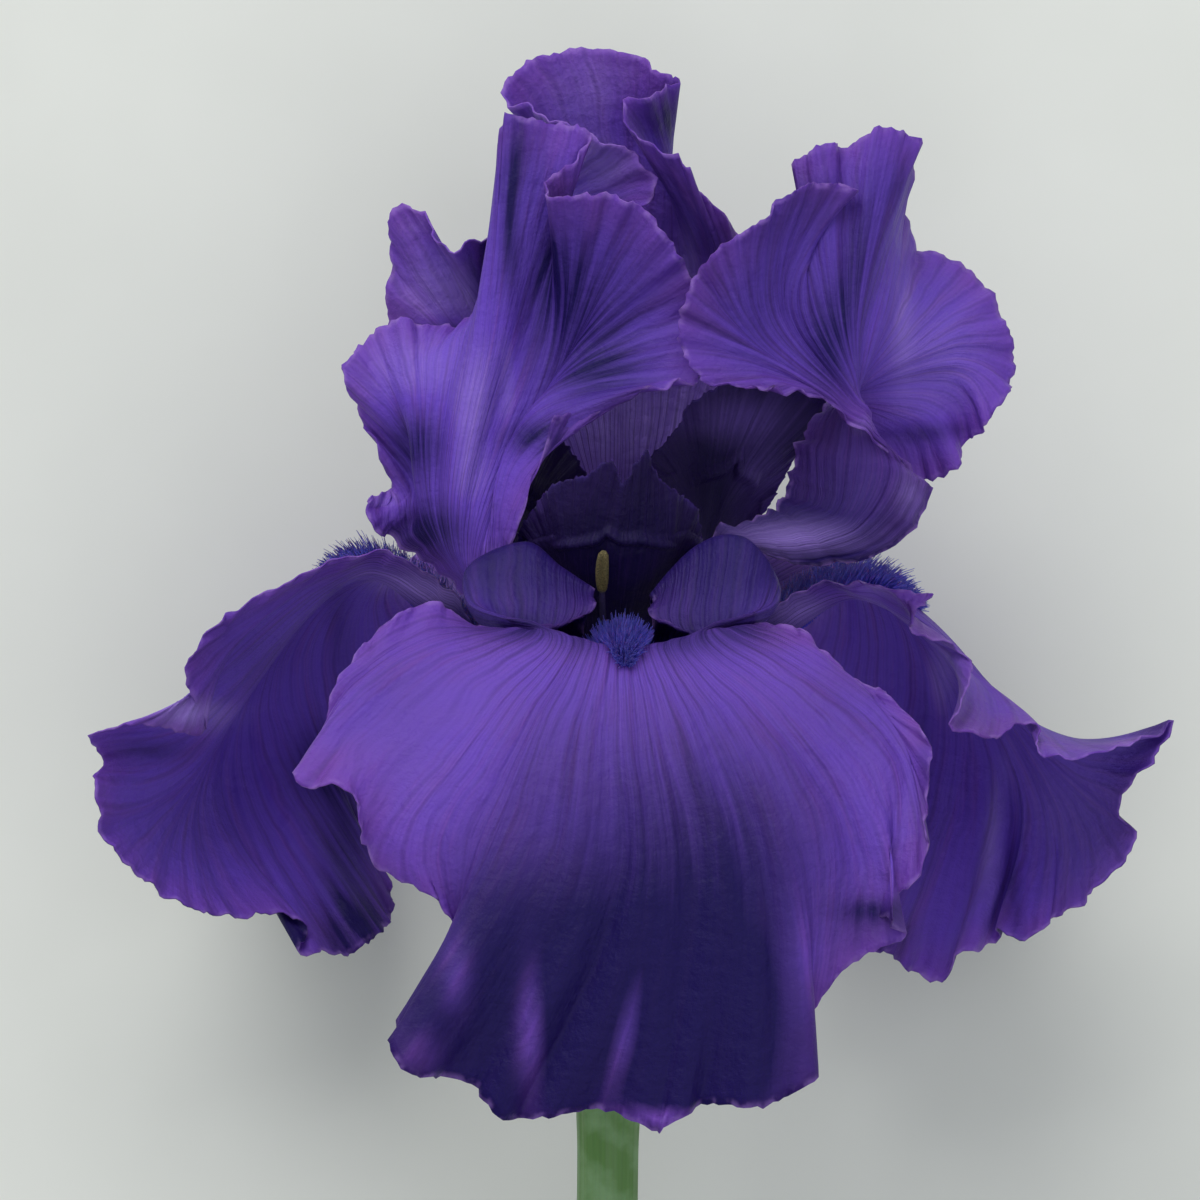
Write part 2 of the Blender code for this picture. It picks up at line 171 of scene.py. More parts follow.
def loft(rows: Rows, ranks: int, columns: int) -> Array:
    """The smooth sheet through rows of points.

    A curve through each row is read at columns spaced evenly along the last row, the petal's outline,
    and a second curve joins each column through the rows, spaced by the mean gap between them.

    Args:
        rows: Rows of points across the petal, from its base to its outline.
        ranks: Samples along the petal.
        columns: Samples across it.

    Returns:
        A ranks by columns grid of points.
    """
    trial = np.linspace(0, 1, 801)
    run = run_lengths(spline(rows[-1], np.linspace(0, 1, len(rows[-1])), trial), 0)
    across = np.interp(np.linspace(0, run[-1], columns), run, trial)
    lines = np.array([spline(row, np.linspace(0, 1, len(row)), across) for row in rows])
    gaps = np.linalg.norm(np.diff(lines, axis=0), axis=2).mean(axis=1)
    levels = np.concatenate([[0], np.cumsum(gaps)]) / gaps.sum()
    return spline(lines, levels, np.linspace(0, 1, ranks))


def sheet_normals(grid: Array) -> Array:
    """Unit normals of a grid of points, the cross product of its directions along and across."""
    normal = np.cross(np.gradient(grid, axis=0), np.gradient(grid, axis=1))
    return normal / np.maximum(np.linalg.norm(normal, axis=2, keepdims=True), 1e-9)


def ripple(x: Array, lengths: tuple, rng: np.random.Generator) -> Array:
    """A gentle irregular wave: sines of the given wavelengths with random phases, scaled to about one."""
    waves = [np.sin(2 * np.pi * (x / length + rng.random())) for length in lengths]
    return sum(waves) / len(lengths) ** 0.5


class Lie:
    """How the flower lies: turned by its pitch and roll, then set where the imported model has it."""

    def __init__(self) -> None:
        """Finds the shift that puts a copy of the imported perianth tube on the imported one."""
        roll = Matrix.Rotation(np.radians(LAID_ROLL), 3, "Y")
        self.turn = np.array(roll @ Matrix.Rotation(np.radians(LAID_PITCH), 3, "X"))
        down = np.linspace(*TUBE_SPAN, 6)
        tube = swept(stem_point(down), np.interp(down, TUBE_SPAN, TUBE_RADIUS), 18)
        low, high = (np.array(corner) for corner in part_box("perianth_tube"))
        laid = tube.reshape(-1, 3) @ self.turn.T * MM
        self.shift = (low + high) / 2 - (laid.min(axis=0) + laid.max(axis=0)) / 2

    def down(self, points: Array) -> Array:
        """Points of the flower's frame, in mm, as they lie on the floor, in metres."""
        return np.asarray(points, float) @ self.turn.T * MM + self.shift

    def way(self, direction: Array) -> Vector:
        """A direction of the flower's frame as it lies."""
        return Vector(self.turn @ np.asarray(direction, float)).normalized()


def swept(path: Array, radius: Array, sides: int) -> Array:
    """Rings of points about a path.

    The sections are circles square to the path; each starts on the level side of the path.

    Args:
        path: Points along the centre line.
        radius: Radius at each point of the path, or at each point of the path and side of the ring.
        sides: Points in a ring.

    Returns:
        A grid of points, one row for each point of the path.
    """
    forward = np.gradient(path, axis=0)
    forward /= np.linalg.norm(forward, axis=1, keepdims=True)
    side = np.cross(forward, (0.0, 0.0, 1.0))
    side /= np.maximum(np.linalg.norm(side, axis=1, keepdims=True), 1e-9)
    rise = np.cross(forward, side)
    turn = np.linspace(0, 2 * np.pi, sides, endpoint=False)
    radius = np.asarray(radius, float)
    if radius.ndim == 1:
        radius = np.repeat(radius[:, None], sides, axis=1)
    ring = np.cos(turn)[None, :, None] * side[:, None] + np.sin(turn)[None, :, None] * rise[:, None]
    return path[:, None] + radius[:, :, None] * ring


@dataclass
class Shell:
    """A mesh in the making: points, four-sided faces, and values that its material reads."""

    points: Array
    faces: Array
    uv: Array
    values: dict

    def piece(self, name: str, lie: Lie, finish: bpy.types.Material) -> bpy.types.Object:
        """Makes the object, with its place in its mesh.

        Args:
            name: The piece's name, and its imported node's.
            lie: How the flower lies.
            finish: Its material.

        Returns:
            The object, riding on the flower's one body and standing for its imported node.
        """
        mesh = bpy.data.meshes.new(name)
        mesh.vertices.add(len(self.points))
        mesh.vertices.foreach_set("co", lie.down(self.points).astype(np.float32).ravel())
        sizes = (self.faces >= 0).sum(axis=1)
        loops = self.faces[self.faces >= 0].astype(np.int32)
        mesh.loops.add(len(loops))
        mesh.loops.foreach_set("vertex_index", loops)
        mesh.polygons.add(len(sizes))
        mesh.polygons.foreach_set("loop_start", (np.cumsum(sizes) - sizes).astype(np.int32))
        mesh.update(calc_edges=True)
        mesh.validate()
        layer = mesh.uv_layers.new(name="UVMap")
        layer.data.foreach_set("uv", self.uv[loops].astype(np.float32).ravel())
        for key, value in self.values.items():
            spot = mesh.attributes.new(key, "FLOAT", "POINT")
            spot.data.foreach_set("value", np.asarray(value, np.float32).ravel())
        mesh.materials.append(finish)
        mesh.shade_smooth()
        made = bpy.data.objects.new(name, mesh)
        bpy.context.collection.objects.link(made)
        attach(made, "root")
        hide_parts(name)
        log.info("%s: %d faces", name, len(sizes))
        return made


def grid_faces(ranks: int, columns: int, start: int = 0, wrap: bool = False, flip: bool = False) -> Array:
    """The four-sided faces of a grid of points.

    Args:
        ranks: Points along the grid.
        columns: Points across it.
        start: Number of its first point in the mesh.
        wrap: Whether its last column joins its first.
        flip: Whether the faces are turned over.

    Returns:
        The numbers of each face's four points.
    """
    index = start + np.arange(ranks * columns).reshape(ranks, columns)
    if wrap:
        index = np.concatenate([index, index[:, :1]], axis=1)
    corners = [index[:-1, :-1], index[1:, :-1], index[1:, 1:], index[:-1, 1:]]
    faces = np.stack(corners, axis=-1).reshape(-1, 4)
    return faces[:, ::-1] if flip else faces


def closed_sheet(grid: Array, thickness: Array, uv: Array, values: dict) -> Shell:
    """A sheet with two faces and a rim.

    Each face is the grid moved half the thickness along its normal, to one side and to the other.

    Args:
        grid: Points of the sheet's middle.
        thickness: Thickness at each point.
        uv: Pattern coordinates at each point.
        values: Arrays of values at each point, for the material.

    Returns:
        The closed shell, with one more value, outer, that is 1 on the face away from the normal.
    """
    ranks, columns = grid.shape[:2]
    offset = sheet_normals(grid) * np.asarray(thickness)[..., None] / 2
    count = ranks * columns
    border = np.arange(count).reshape(ranks, columns)
    border = np.concatenate([border[0, :-1], border[:-1, -1], border[-1, :0:-1], border[:0:-1, 0]])
    after = np.roll(border, -1)
    rim = np.stack([border, after, after + count, border + count], axis=1)
    faces = np.concatenate([grid_faces(ranks, columns), grid_faces(ranks, columns, count, flip=True), rim])
    points = np.concatenate([(grid + offset).reshape(-1, 3), (grid - offset).reshape(-1, 3)])
    doubled = {key: np.concatenate([value.ravel(), value.ravel()]) for key, value in values.items()}
    doubled["outer"] = np.repeat([0.0, 1.0], count)
    uv = uv.reshape(-1, 2)
    return Shell(points, faces, np.concatenate([uv, uv]), doubled)


def closed_tube(grid: Array, values: dict) -> Shell:
    """Rings of points closed round and capped with a fan of faces at each end.

    Args:
        grid: Rings of points, one row for each.
        values: Arrays of values at each point, for the material.

    Returns:
        The closed shell; its pattern runs round in u and along in v.
    """
    rings, sides = grid.shape[:2]
    count = rings * sides
    points = np.concatenate([grid.reshape(-1, 3), grid[0].mean(axis=0)[None], grid[-1].mean(axis=0)[None]])
    ring = np.arange(sides)
    after = np.roll(ring, -1)
    none = np.full(sides, -1)
    first = np.stack([np.full(sides, count), after, ring, none], axis=1)
    last = np.stack([np.full(sides, count + 1), ring + count - sides, after + count - sides, none], axis=1)
    body = grid_faces(rings, sides, wrap=True, flip=True)
    round_, along = np.meshgrid(np.linspace(0, 1, sides, endpoint=False), np.linspace(0, 1, rings))
    uv = np.stack([round_, along], axis=-1).reshape(-1, 2)
    full = {key: np.append(value, [value[0].mean(), value[-1].mean()]) for key, value in values.items()}
    faces = np.concatenate([body, first, last])
    return Shell(points, faces, np.concatenate([uv, [[0.5, 0.0], [0.5, 1.0]]]), full)


def linear(colour: str) -> tuple:
    """An sRGB hex colour such as "#6A48A8" as linear RGB with alpha one."""
    parts = [int(colour[i : i + 2], 16) / 255 for i in (1, 3, 5)]
    return (*(c / 12.92 if c <= 0.04045 else ((c + 0.055) / 1.055) ** 2.4 for c in parts), 1.0)


def feed(tree: bpy.types.NodeTree, made: bpy.types.Node, inputs: dict) -> None:
    """Links the inputs that are given a socket and sets the rest.

    Args:
        tree: The material's node tree.
        made: The node.
        inputs: Values and sockets by the inputs' names or numbers.
    """
    for key, value in inputs.items():
        if isinstance(value, Socket):
            tree.links.new(value, made.inputs[key])
        else:
            made.inputs[key].default_value = value


def add_node(
    tree: bpy.types.NodeTree, kind: str, inputs: dict, output: int | str = 0, **settings: object
) -> Socket:
    """Adds a shader node with its settings and links.

    Inputs that share a name go by number.  In a Map Range 0 is the value, 1 and 2 the range it comes from
    and 3 and 4 the range it goes to; in a Mix 0 is the share and 6 and 7 the two colours; in a Math or a
    Vector Math 0 to 2 are its terms in order; in a wave texture 0 is the place and 1 the scale.

    Args:
        tree: The material's node tree.
        kind: The node's type, without its ShaderNode prefix.
        inputs: Values for its inputs by name or number; a socket is linked, anything else is set.
        output: The output to hand back, by name or number.
        **settings: Properties to set on it.

    Returns:
        The output's socket.
    """
    made = tree.nodes.new("ShaderNode" + kind)
    for key, value in settings.items():
        setattr(made, key, value)
    feed(tree, made, inputs)
    return made.outputs[output]


@dataclass
class Workshop:
    """A material in the making, with what every one of them starts from."""

    material: bpy.types.Material
    node: Callable  # adds a node to it
    place: Socket  # Object coordinates in millimetres

    @classmethod
    def open(cls, name: str) -> "Workshop":
        """Starts a material.

        Args:
            name: Its name.

        Returns:
            The workshop for it.
        """
        made = bpy.data.materials.new(name)
        made.use_nodes = True
        node = partial(add_node, made.node_tree)
        metres = node("TexCoord", {}, "Object")
        return cls(made, node, node("VectorMath", {0: metres, "Scale": 1000.0}, operation="SCALE"))

    def close(self, settings: dict) -> bpy.types.Material:
        """Sets and links the inputs of the Principled shader.

        Args:
            settings: Values and sockets by the inputs' names.

        Returns:
            The finished material.
        """
        tree = self.material.node_tree
        feed(tree, tree.nodes["Principled BSDF"], settings)
        return self.material


@dataclass(frozen=True)
class PetalSkin:
    """Living petal tissue, grown as a satin skin of tiny domed cells over fine veins.

    The domed cells give the eye a velvet bloom and a soft, broad shine; light passes a little way through.
    The veins run out from the claw along the pattern's v and are counted across its u.
    """

    name: str
    lit: str = "#6544A8"  # the inner face
    deep: str = "#0F0746"  # its dark middle and claw, partly its own colour and partly painted shade; also the colour of the patches of painted shade
    back: str = "#6444B4"  # the outer face
    pale: str = "#9A7ED4"  # the colour of the patches of painted light, and of paler patches of its own
    vein: str = "#22144E"
    margin: str = "#6E4099"  # reddish violet towards the margin
    rim: str = "#9270BE"  # painted highlight on the crest of each crimp at the margin
    veins: int = 42
    heart_from: float = 0.6  # share of the length, with its rays, where the dark middle begins
    heart_to: float = 0.96
    heart_width: float = 0.2  # share of the width that it covers to either side
    dark: float = 1.0  # how dark the middle gets
    claw: float = 0.4  # share of the length over which the dark claw fades into the blade; the dark is partly the claw's own colour and partly painted shade in the throat
    streaks: tuple = (70.0, 3.5, 1.0)  # cells of the streaky noise across the petal and along it

    def material(self) -> bpy.types.Material:
        """Builds the material from the mesh's values and the petal's pattern.

        Returns:
            The material.
        """
        work = Workshop.open(self.name)
        node = work.node
        uv = node("UVMap", {}, uv_map="UVMap")
        v = node("SeparateXYZ", {0: uv}, "Y")
        ray = node("VectorMath", {0: uv, 1: self.streaks}, operation="MULTIPLY")
        streaks = node("TexNoise", {"Vector": ray, "Scale": 1.0, "Detail": 4.0, "Roughness": 0.6})
        cloud = node("TexNoise", {"Vector": work.place, "Scale": 0.12, "Detail": 4.0})
        veins = self.vein_lines(work, uv)
        skin = self.blade(work, v, streaks, cloud)
        skin = self.deepened(work, skin, self.depth(work, uv, streaks))
        skin = self.lined(work, skin, veins, streaks)
        return work.close({
            "Base Color": skin,
            "Normal": self.relief(work, veins, streaks),
            "Roughness": node("Math", {0: cloud, 1: 0.15, 2: 0.42}, operation="MULTIPLY_ADD"),
            "Specular IOR Level": 0.12,
            "Sheen Weight": 0.04,
            "Sheen Roughness": 0.4,
            "Sheen Tint": linear("#8C6CE0"),
            "Subsurface Weight": 0.18,
            "Subsurface Scale": 0.0012,
            "Subsurface Radius": (0.7, 0.35, 1.0),
        })

    def vein_lines(self, work: Workshop, uv: Socket) -> Socket:
        """Main veins with finer ones between them, fading from the claw to the margin.

        The lines are the crests of sine bands across u, which wanders a little over the petal.

        Args:
            work: The material in the making.
            uv: The petal's pattern coordinates.

        Returns:
            The veins' strength.
        """
        node = work.node
        u, v = node("SeparateXYZ", {0: uv}, "X"), node("SeparateXYZ", {0: uv}, "Y")
        sway = node("TexNoise", {"Vector": work.place, "Scale": 0.09})
        wandering = node("Math", {0: sway, 1: 0.03, 2: u}, operation="MULTIPLY_ADD")
        line = node("CombineXYZ", {0: wandering})
        bands = 2 * np.pi / WAVE_TURN * self.veins  # the scale that gives one band for each vein
        main = node("TexWave", {0: line, 1: bands}, "Fac")
        main = node("MapRange", {0: main, 1: 0.72, 2: 1.0})
        fine = node("TexWave", {0: line, 1: 3 * bands}, "Fac")
        fine = node("MapRange", {0: fine, 1: 0.5, 2: 1.0, 4: 0.4})
        veins = node("Math", {0: main, 1: fine}, operation="MAXIMUM")
        from_claw = node("MapRange", {0: v, 1: 0.42, 2: 0.66, 3: 0.9, 4: 0.32}, **EASED)
        return node("Math", {0: veins, 1: from_claw}, operation="MULTIPLY")

    def depth(self, work: Workshop, uv: Socket, streaks: Socket) -> Socket:
        """How far the colour is darkened: the mesh's patches of pigment and of painted light and shade,
        broken by streaks, plus the dark heart.

        The heart is a band about the midrib of the inner face, and starts where v and the streaks together
        pass heart_from. It is partly the fall's own dark middle and partly painted shade on its lower blade,
        which faces down.

        Args:
            work: The material in the making.
            uv: The petal's pattern coordinates.
            streaks: Noise drawn out along the veins.

        Returns:
            The depth; above zero it is darker and below zero paler.
        """
        node = work.node
        u, v = node("SeparateXYZ", {0: uv}, "X"), node("SeparateXYZ", {0: uv}, "Y")
        outer = node("Attribute", {}, "Fac", attribute_name="outer")
        pigment_and_painted_light = node("Attribute", {}, "Fac", attribute_name="pigment_and_painted_light")
        beside = node("Math", {0: u, 1: 0.5}, operation="SUBTRACT")
        beside = node("Math", {0: beside}, operation="ABSOLUTE")
        start, end = 0.5 * self.heart_width, 1.5 * self.heart_width
        within = node("MapRange", {0: beside, 1: start, 2: end, 3: self.dark, 4: 0.0}, **EASED)
        inside = node("Math", {0: outer, 1: -1.0, 2: 1.0}, operation="MULTIPLY_ADD")
        within = node("Math", {0: within, 1: inside}, operation="MULTIPLY")
        rayed = node("Math", {0: streaks, 1: 0.25, 2: v}, operation="MULTIPLY_ADD")
        beyond = node("MapRange", {0: rayed, 1: self.heart_from, 2: self.heart_to}, **EASED)
        # The heart: partly the fall's own dark middle, partly painted shade on its lower blade
        heart = node("Math", {0: within, 1: beyond}, operation="MULTIPLY")
        broken = node("MapRange", {0: streaks, 1: 0.35, 2: 0.65, 3: 0.6, 4: 1.3})
        return node("Math", {0: pigment_and_painted_light, 1: broken, 2: heart}, operation="MULTIPLY_ADD")

    def blade(self, work: Workshop, v: Socket, streaks: Socket, cloud: Socket) -> Socket:
        """The two faces' colours, redder in streaks and at the margin, bluer in clouds, dark at the claw,
        partly its own colour and partly painted shade in the throat.

        Args:
            work: The material in the making.
            v: Share of the petal's length.
            streaks: Noise drawn out along the veins.
            cloud: Broad noise.

        Returns:
            The colour.
        """
        node = work.node
        edge = node("Attribute", {}, "Fac", attribute_name="edge")
        outer = node("Attribute", {}, "Fac", attribute_name="outer")
        near = node("MapRange", {0: edge, 1: 0.0, 2: 13.0, 3: 0.7, 4: 0.0}, **EASED)
        face = node("Mix", {0: near, 6: linear(self.lit), 7: linear(self.margin)}, **COLOURS)
        near = node("MapRange", {0: edge, 1: 0.0, 2: 10.0, 3: 0.6, 4: 0.0}, **EASED)
        back = node("Mix", {0: near, 6: linear(self.back), 7: linear(self.margin)}, **COLOURS)
        skin = node("Mix", {0: outer, 6: face, 7: back}, **COLOURS)
        redder = node("MapRange", {0: streaks, 1: 0.45, 2: 0.7, 3: 0.0, 4: 0.55}, **EASED)
        skin = node("Mix", {0: redder, 6: skin, 7: linear(self.margin)}, **COLOURS)
        bluer = node("MapRange", {0: cloud, 1: 0.35, 2: 0.7, 3: 0.0, 4: 0.45}, **EASED)
        skin = node("Mix", {0: bluer, 6: skin, 7: linear(self.back)}, **COLOURS)
        # The dark claw: partly its own colour, partly painted shade in the throat
        ragged = node("Math", {0: streaks, 1: 0.16, 2: v}, operation="MULTIPLY_ADD")
        start, end = 0.8 * self.claw, 1.3 * self.claw + 0.05
        claw = node("MapRange", {0: ragged, 1: start, 2: end, 3: 0.95, 4: 0.0}, **EASED)
        return node("Mix", {0: claw, 6: skin, 7: linear(self.deep)}, **COLOURS)

    def deepened(self, work: Workshop, skin: Socket, depth: Socket) -> Socket:
        """The colour made paler where the depth is below zero and darker where it is above: the petal's own
        blotches, with painted light and painted shade.

        Args:
            work: The material in the making.
            skin: The colour so far.
            depth: How far it is deepened.

        Returns:
            The colour.
        """
        node = work.node
        # Paler towards pale as painted light, darker towards deep as painted shade; both partly the petal's
        # own blotches
        thin = node("MapRange", {0: depth, 1: 0.0, 2: -1.0, 3: 0.0, 4: 1.0})
        skin = node("Mix", {0: thin, 6: skin, 7: linear(self.pale)}, **COLOURS)
        thick = node("MapRange", {0: depth, 1: 0.0, 2: 1.0, 3: 0.0, 4: 0.97})
        return node("Mix", {0: thick, 6: skin, 7: linear(self.deep)}, **COLOURS)

    def lined(self, work: Workshop, skin: Socket, veins: Socket, streaks: Socket) -> Socket:
        """The colour with its veins, which come and go in streaks, and a painted highlight on the crests of
        its margin, in patches.

        Args:
            work: The material in the making.
            skin: The colour so far.
            veins: The veins' strength.
            streaks: Noise drawn out along the veins.

        Returns:
            The colour.
        """
        node = work.node
        faded = node("MapRange", {0: streaks, 1: 0.35, 2: 0.65, 3: 0.2, 4: 1.0})
        lines = node("Math", {0: veins, 1: faded}, operation="MULTIPLY")
        skin = node("Mix", {0: lines, 6: skin, 7: linear(self.vein)}, **COLOURS)
        # Painted highlight on the crests of the margin, in patches
        highlight_patches = node("TexNoise", {"Vector": work.place, "Scale": 0.5})
        highlight_patches = node("MapRange", {0: highlight_patches, 1: 0.4, 2: 0.65}, **EASED)
        edge = node("Attribute", {}, "Fac", attribute_name="edge")
        crest = node("MapRange", {0: edge, 1: 0.1, 2: 1.2, 3: 0.5, 4: 0.0}, **EASED)
        crest = node("Math", {0: crest, 1: highlight_patches}, operation="MULTIPLY")
        return node("Mix", {0: crest, 6: skin, 7: linear(self.rim)}, **COLOURS)

    def relief(self, work: Workshop, veins: Socket, streaks: Socket) -> Socket:
        """The skin's fine relief: domed cells, puckers a few mm wide, and sunken veins.

        Args:
            work: The material in the making.
            veins: The veins' strength.
            streaks: Noise drawn out along the veins.

        Returns:
            The normals.
        """
        node, place = work.node, work.place
        cells = node("TexNoise", {"Vector": place, "Scale": 7.0})  # too fine to show: drawn 0.15 mm apart
        puckers = node("TexNoise", {"Vector": place, "Scale": 0.4, "Detail": 4.0, "Roughness": 0.6})
        height = node("Math", {0: cells, 1: 0.05}, operation="MULTIPLY")
        height = node("Math", {0: puckers, 1: 0.7, 2: height}, operation="MULTIPLY_ADD")
        height = node("Math", {0: streaks, 1: 0.5, 2: height}, operation="MULTIPLY_ADD")
        height = node("Math", {0: veins, 1: -0.1, 2: height}, operation="MULTIPLY_ADD")
        return node("Bump", {"Strength": 0.7, "Distance": MM, "Height": height})


@dataclass(frozen=True)
class Patch:
    """A soft patch where a petal's colour is darker, or paler where its depth is below zero: partly its own
    blotches, partly painted shade and painted light on its folds.
    """

    x: float  # its middle in the flower's frame, mm
    y: float
    reach_x: float
    reach_y: float
    depth: float
    slant: float = 0.0  # mm that it moves across for each mm up

    def pigment_and_painted_light(self, points: Array) -> Array:
        """The patch's depth: a bell across the flower times a bell up it.

        Args:
            points: Points in the flower's frame.

        Returns:
            The depth at each.
        """
        up = points[..., 1] - self.y
        across = points[..., 0] - self.x - self.slant * up
        return self.depth * np.exp(-((across / self.reach_x) ** 2) - (up / self.reach_y) ** 2)


@dataclass(frozen=True)
class Crease:
    """A single fold that runs out to the margin, deepening on its way."""

    across: float  # share of the width where it lies
    width: float  # share of the width from its floor to its shoulder
    height_mm: float  # at the margin; below zero for a valley
    start: float  # share of the length where it begins
    drift: float = 0.0  # how far it has moved across by the margin

    def height(self, u: Array, v: Array) -> Array:
        """The fold's height: a bell across it times a smooth rise along it.

        Args:
            u: Shares of the petal's width.
            v: Shares of its length.

        Returns:
            Heights in mm.
        """
        rise = np.clip((v - self.start) / (1 - self.start), 0, 1)
        middle = self.across + self.drift * (rise - 1)
        return self.height_mm * np.exp(-(((u - middle) / self.width) ** 2)) * rise**2 * (3 - 2 * rise)


@dataclass(frozen=True)
class Lip:
    """The stigmatic lip: a thin ledge across the outer face of a style arm, peaked at its middle."""

    along: float = 0.8  # share of the length where it lies
    width: float = 0.012
    height_mm: float = -1.3
    half_span: float = 0.33  # share of the width that it covers to either side

    def height(self, u: Array, v: Array) -> Array:
        """The lip's height: a bell along the arm, cut off smoothly towards the sides.

        Args:
            u: Shares of the arm's width.
            v: Shares of its length.

        Returns:
            Heights in mm.
        """
        middle = self.along + 0.03 * np.exp(-(((u - 0.5) / 0.03) ** 2))
        side = np.clip(1 - np.abs((u - 0.5) / self.half_span) ** 3, 0, 1)
        return self.height_mm * np.exp(-(((v - middle) / self.width) ** 2)) * side


class Face(Enum):
    """Which face of a petal's sheet is its inner one: the side of its normals or the other."""

    NORMAL = 1
    REVERSE = -1


@dataclass
class Petal:
    """A petal or a style arm: a sheet lofted through rows of points, then ruffled.

    The rows run across it from its left margin to its right one; the last is its outline.
    """

    name: str
    skin: PetalSkin
    rows: Rows
    inner: Face = Face.NORMAL
    thickness: float = 0.45
    ruffle: float = 0.45  # height in mm of the small ruffles at the margin
    ruffle_lengths: tuple = (7.0, 11.0, 4.6)  # mm along the margin
    ruffle_reach: float = 5.0  # mm from the margin over which they fade
    pleat: float = 0.45  # height in mm of the long folds that run out to the margin
    pleat_lengths: tuple = (19.0, 31.0, 13.0)
    crimp: float = 0.12  # height in mm of the fine crinkle at the margin
    crimp_lengths: tuple = (2.3, 3.1, 1.7)
    notch: float = 0.22  # depth in mm of the small nicks in the margin
    notch_lengths: tuple = (1.3, 2.1, 3.7, 0.9)
    side_shift: float = 37.0  # mm that sets the waves of the sides apart from those of the margin
    creases: tuple = ()
    ranks: int = 110
    columns: int = 261
    seed: int = 1

    def sheet(self) -> Array:
        """The smooth middle of the sheet."""
        return loft(self.rows, self.ranks, self.columns)

    def shell(self) -> Shell:
        """Ruffles, nicks and thickens the sheet.

        Pleats are slow waves of the distance along the margin that grow with the square of the way along
        the petal; ruffles are quick ones that fade with the distance from the margin; nicks move the last
        points of each column along it.

        Returns:
            The closed shell, with its distance from the margin and its patches of pigment and painted light
            and shade as values.
        """
        rng = np.random.default_rng(self.seed)
        grid = self.sheet()
        margin_run = run_lengths(grid[-1], 0)
        along, across = run_lengths(grid, 0), run_lengths(grid, 1)
        to_tip = along[-1][None] - along
        to_side = np.minimum(across, across[:, -1:] - across)
        way = np.linspace(0, 1, self.ranks)[:, None]
        edge = 1 / (1 / (to_tip + 0.05) ** 3 + 1 / (to_side + 0.05) ** 3) ** (1 / 3)
        edge = np.where(way < 0.25, to_side, edge)

        travelled = np.where(to_tip <= to_side, margin_run[None], along[:, :1] + self.side_shift)
        pleats = ripple(margin_run, self.pleat_lengths, rng)[None] * way**2.2 * self.pleat
        fade = np.clip(way / 0.3, 0, 1)
        inward = edge / self.ruffle_reach
        ruffles = ripple(travelled, self.ruffle_lengths, rng) * np.exp(-(inward**1.2))
        crimps = ripple(travelled, self.crimp_lengths, rng) * np.exp(-((inward / 0.6) ** 1.5))
        share = np.linspace(0, 1, self.columns)[None]
        folds = sum(crease.height(share, way) for crease in self.creases)
        height = pleats + folds + fade * (self.ruffle * ruffles + self.crimp * crimps)
        grid = grid + sheet_normals(grid) * height[..., None]
        outward = np.gradient(grid, axis=0)
        outward /= np.maximum(np.linalg.norm(outward, axis=2, keepdims=True), 1e-9)
        nicks = ripple(margin_run, self.notch_lengths, rng)[None] * np.exp(-to_tip / 2.0) * self.notch
        grid = grid + outward * nicks[..., None]

        thickness = self.thickness * (0.45 + 0.55 * np.clip(edge / 6.0, 0, 1))
        uv = np.stack(np.broadcast_arrays(share, way), axis=-1)
        # The patches' sum: partly the petal's own blotches, partly painted shade and painted light
        pigment_and_painted_light = sum((patch.pigment_and_painted_light(grid) for patch in PIGMENT_AND_PAINTED_LIGHT_PATCHES[self.name]), np.zeros_like(edge))
        made = closed_sheet(grid, thickness, uv, {"edge": edge, "pigment_and_painted_light": pigment_and_painted_light})
        if self.inner is Face.REVERSE:
            made.values["outer"] = 1 - made.values["outer"]
        return made

    def build(self, lie: Lie, finish: bpy.types.Material) -> bpy.types.Object:
        """Makes the petal's object."""
        return self.shell().piece(self.name, lie, finish)


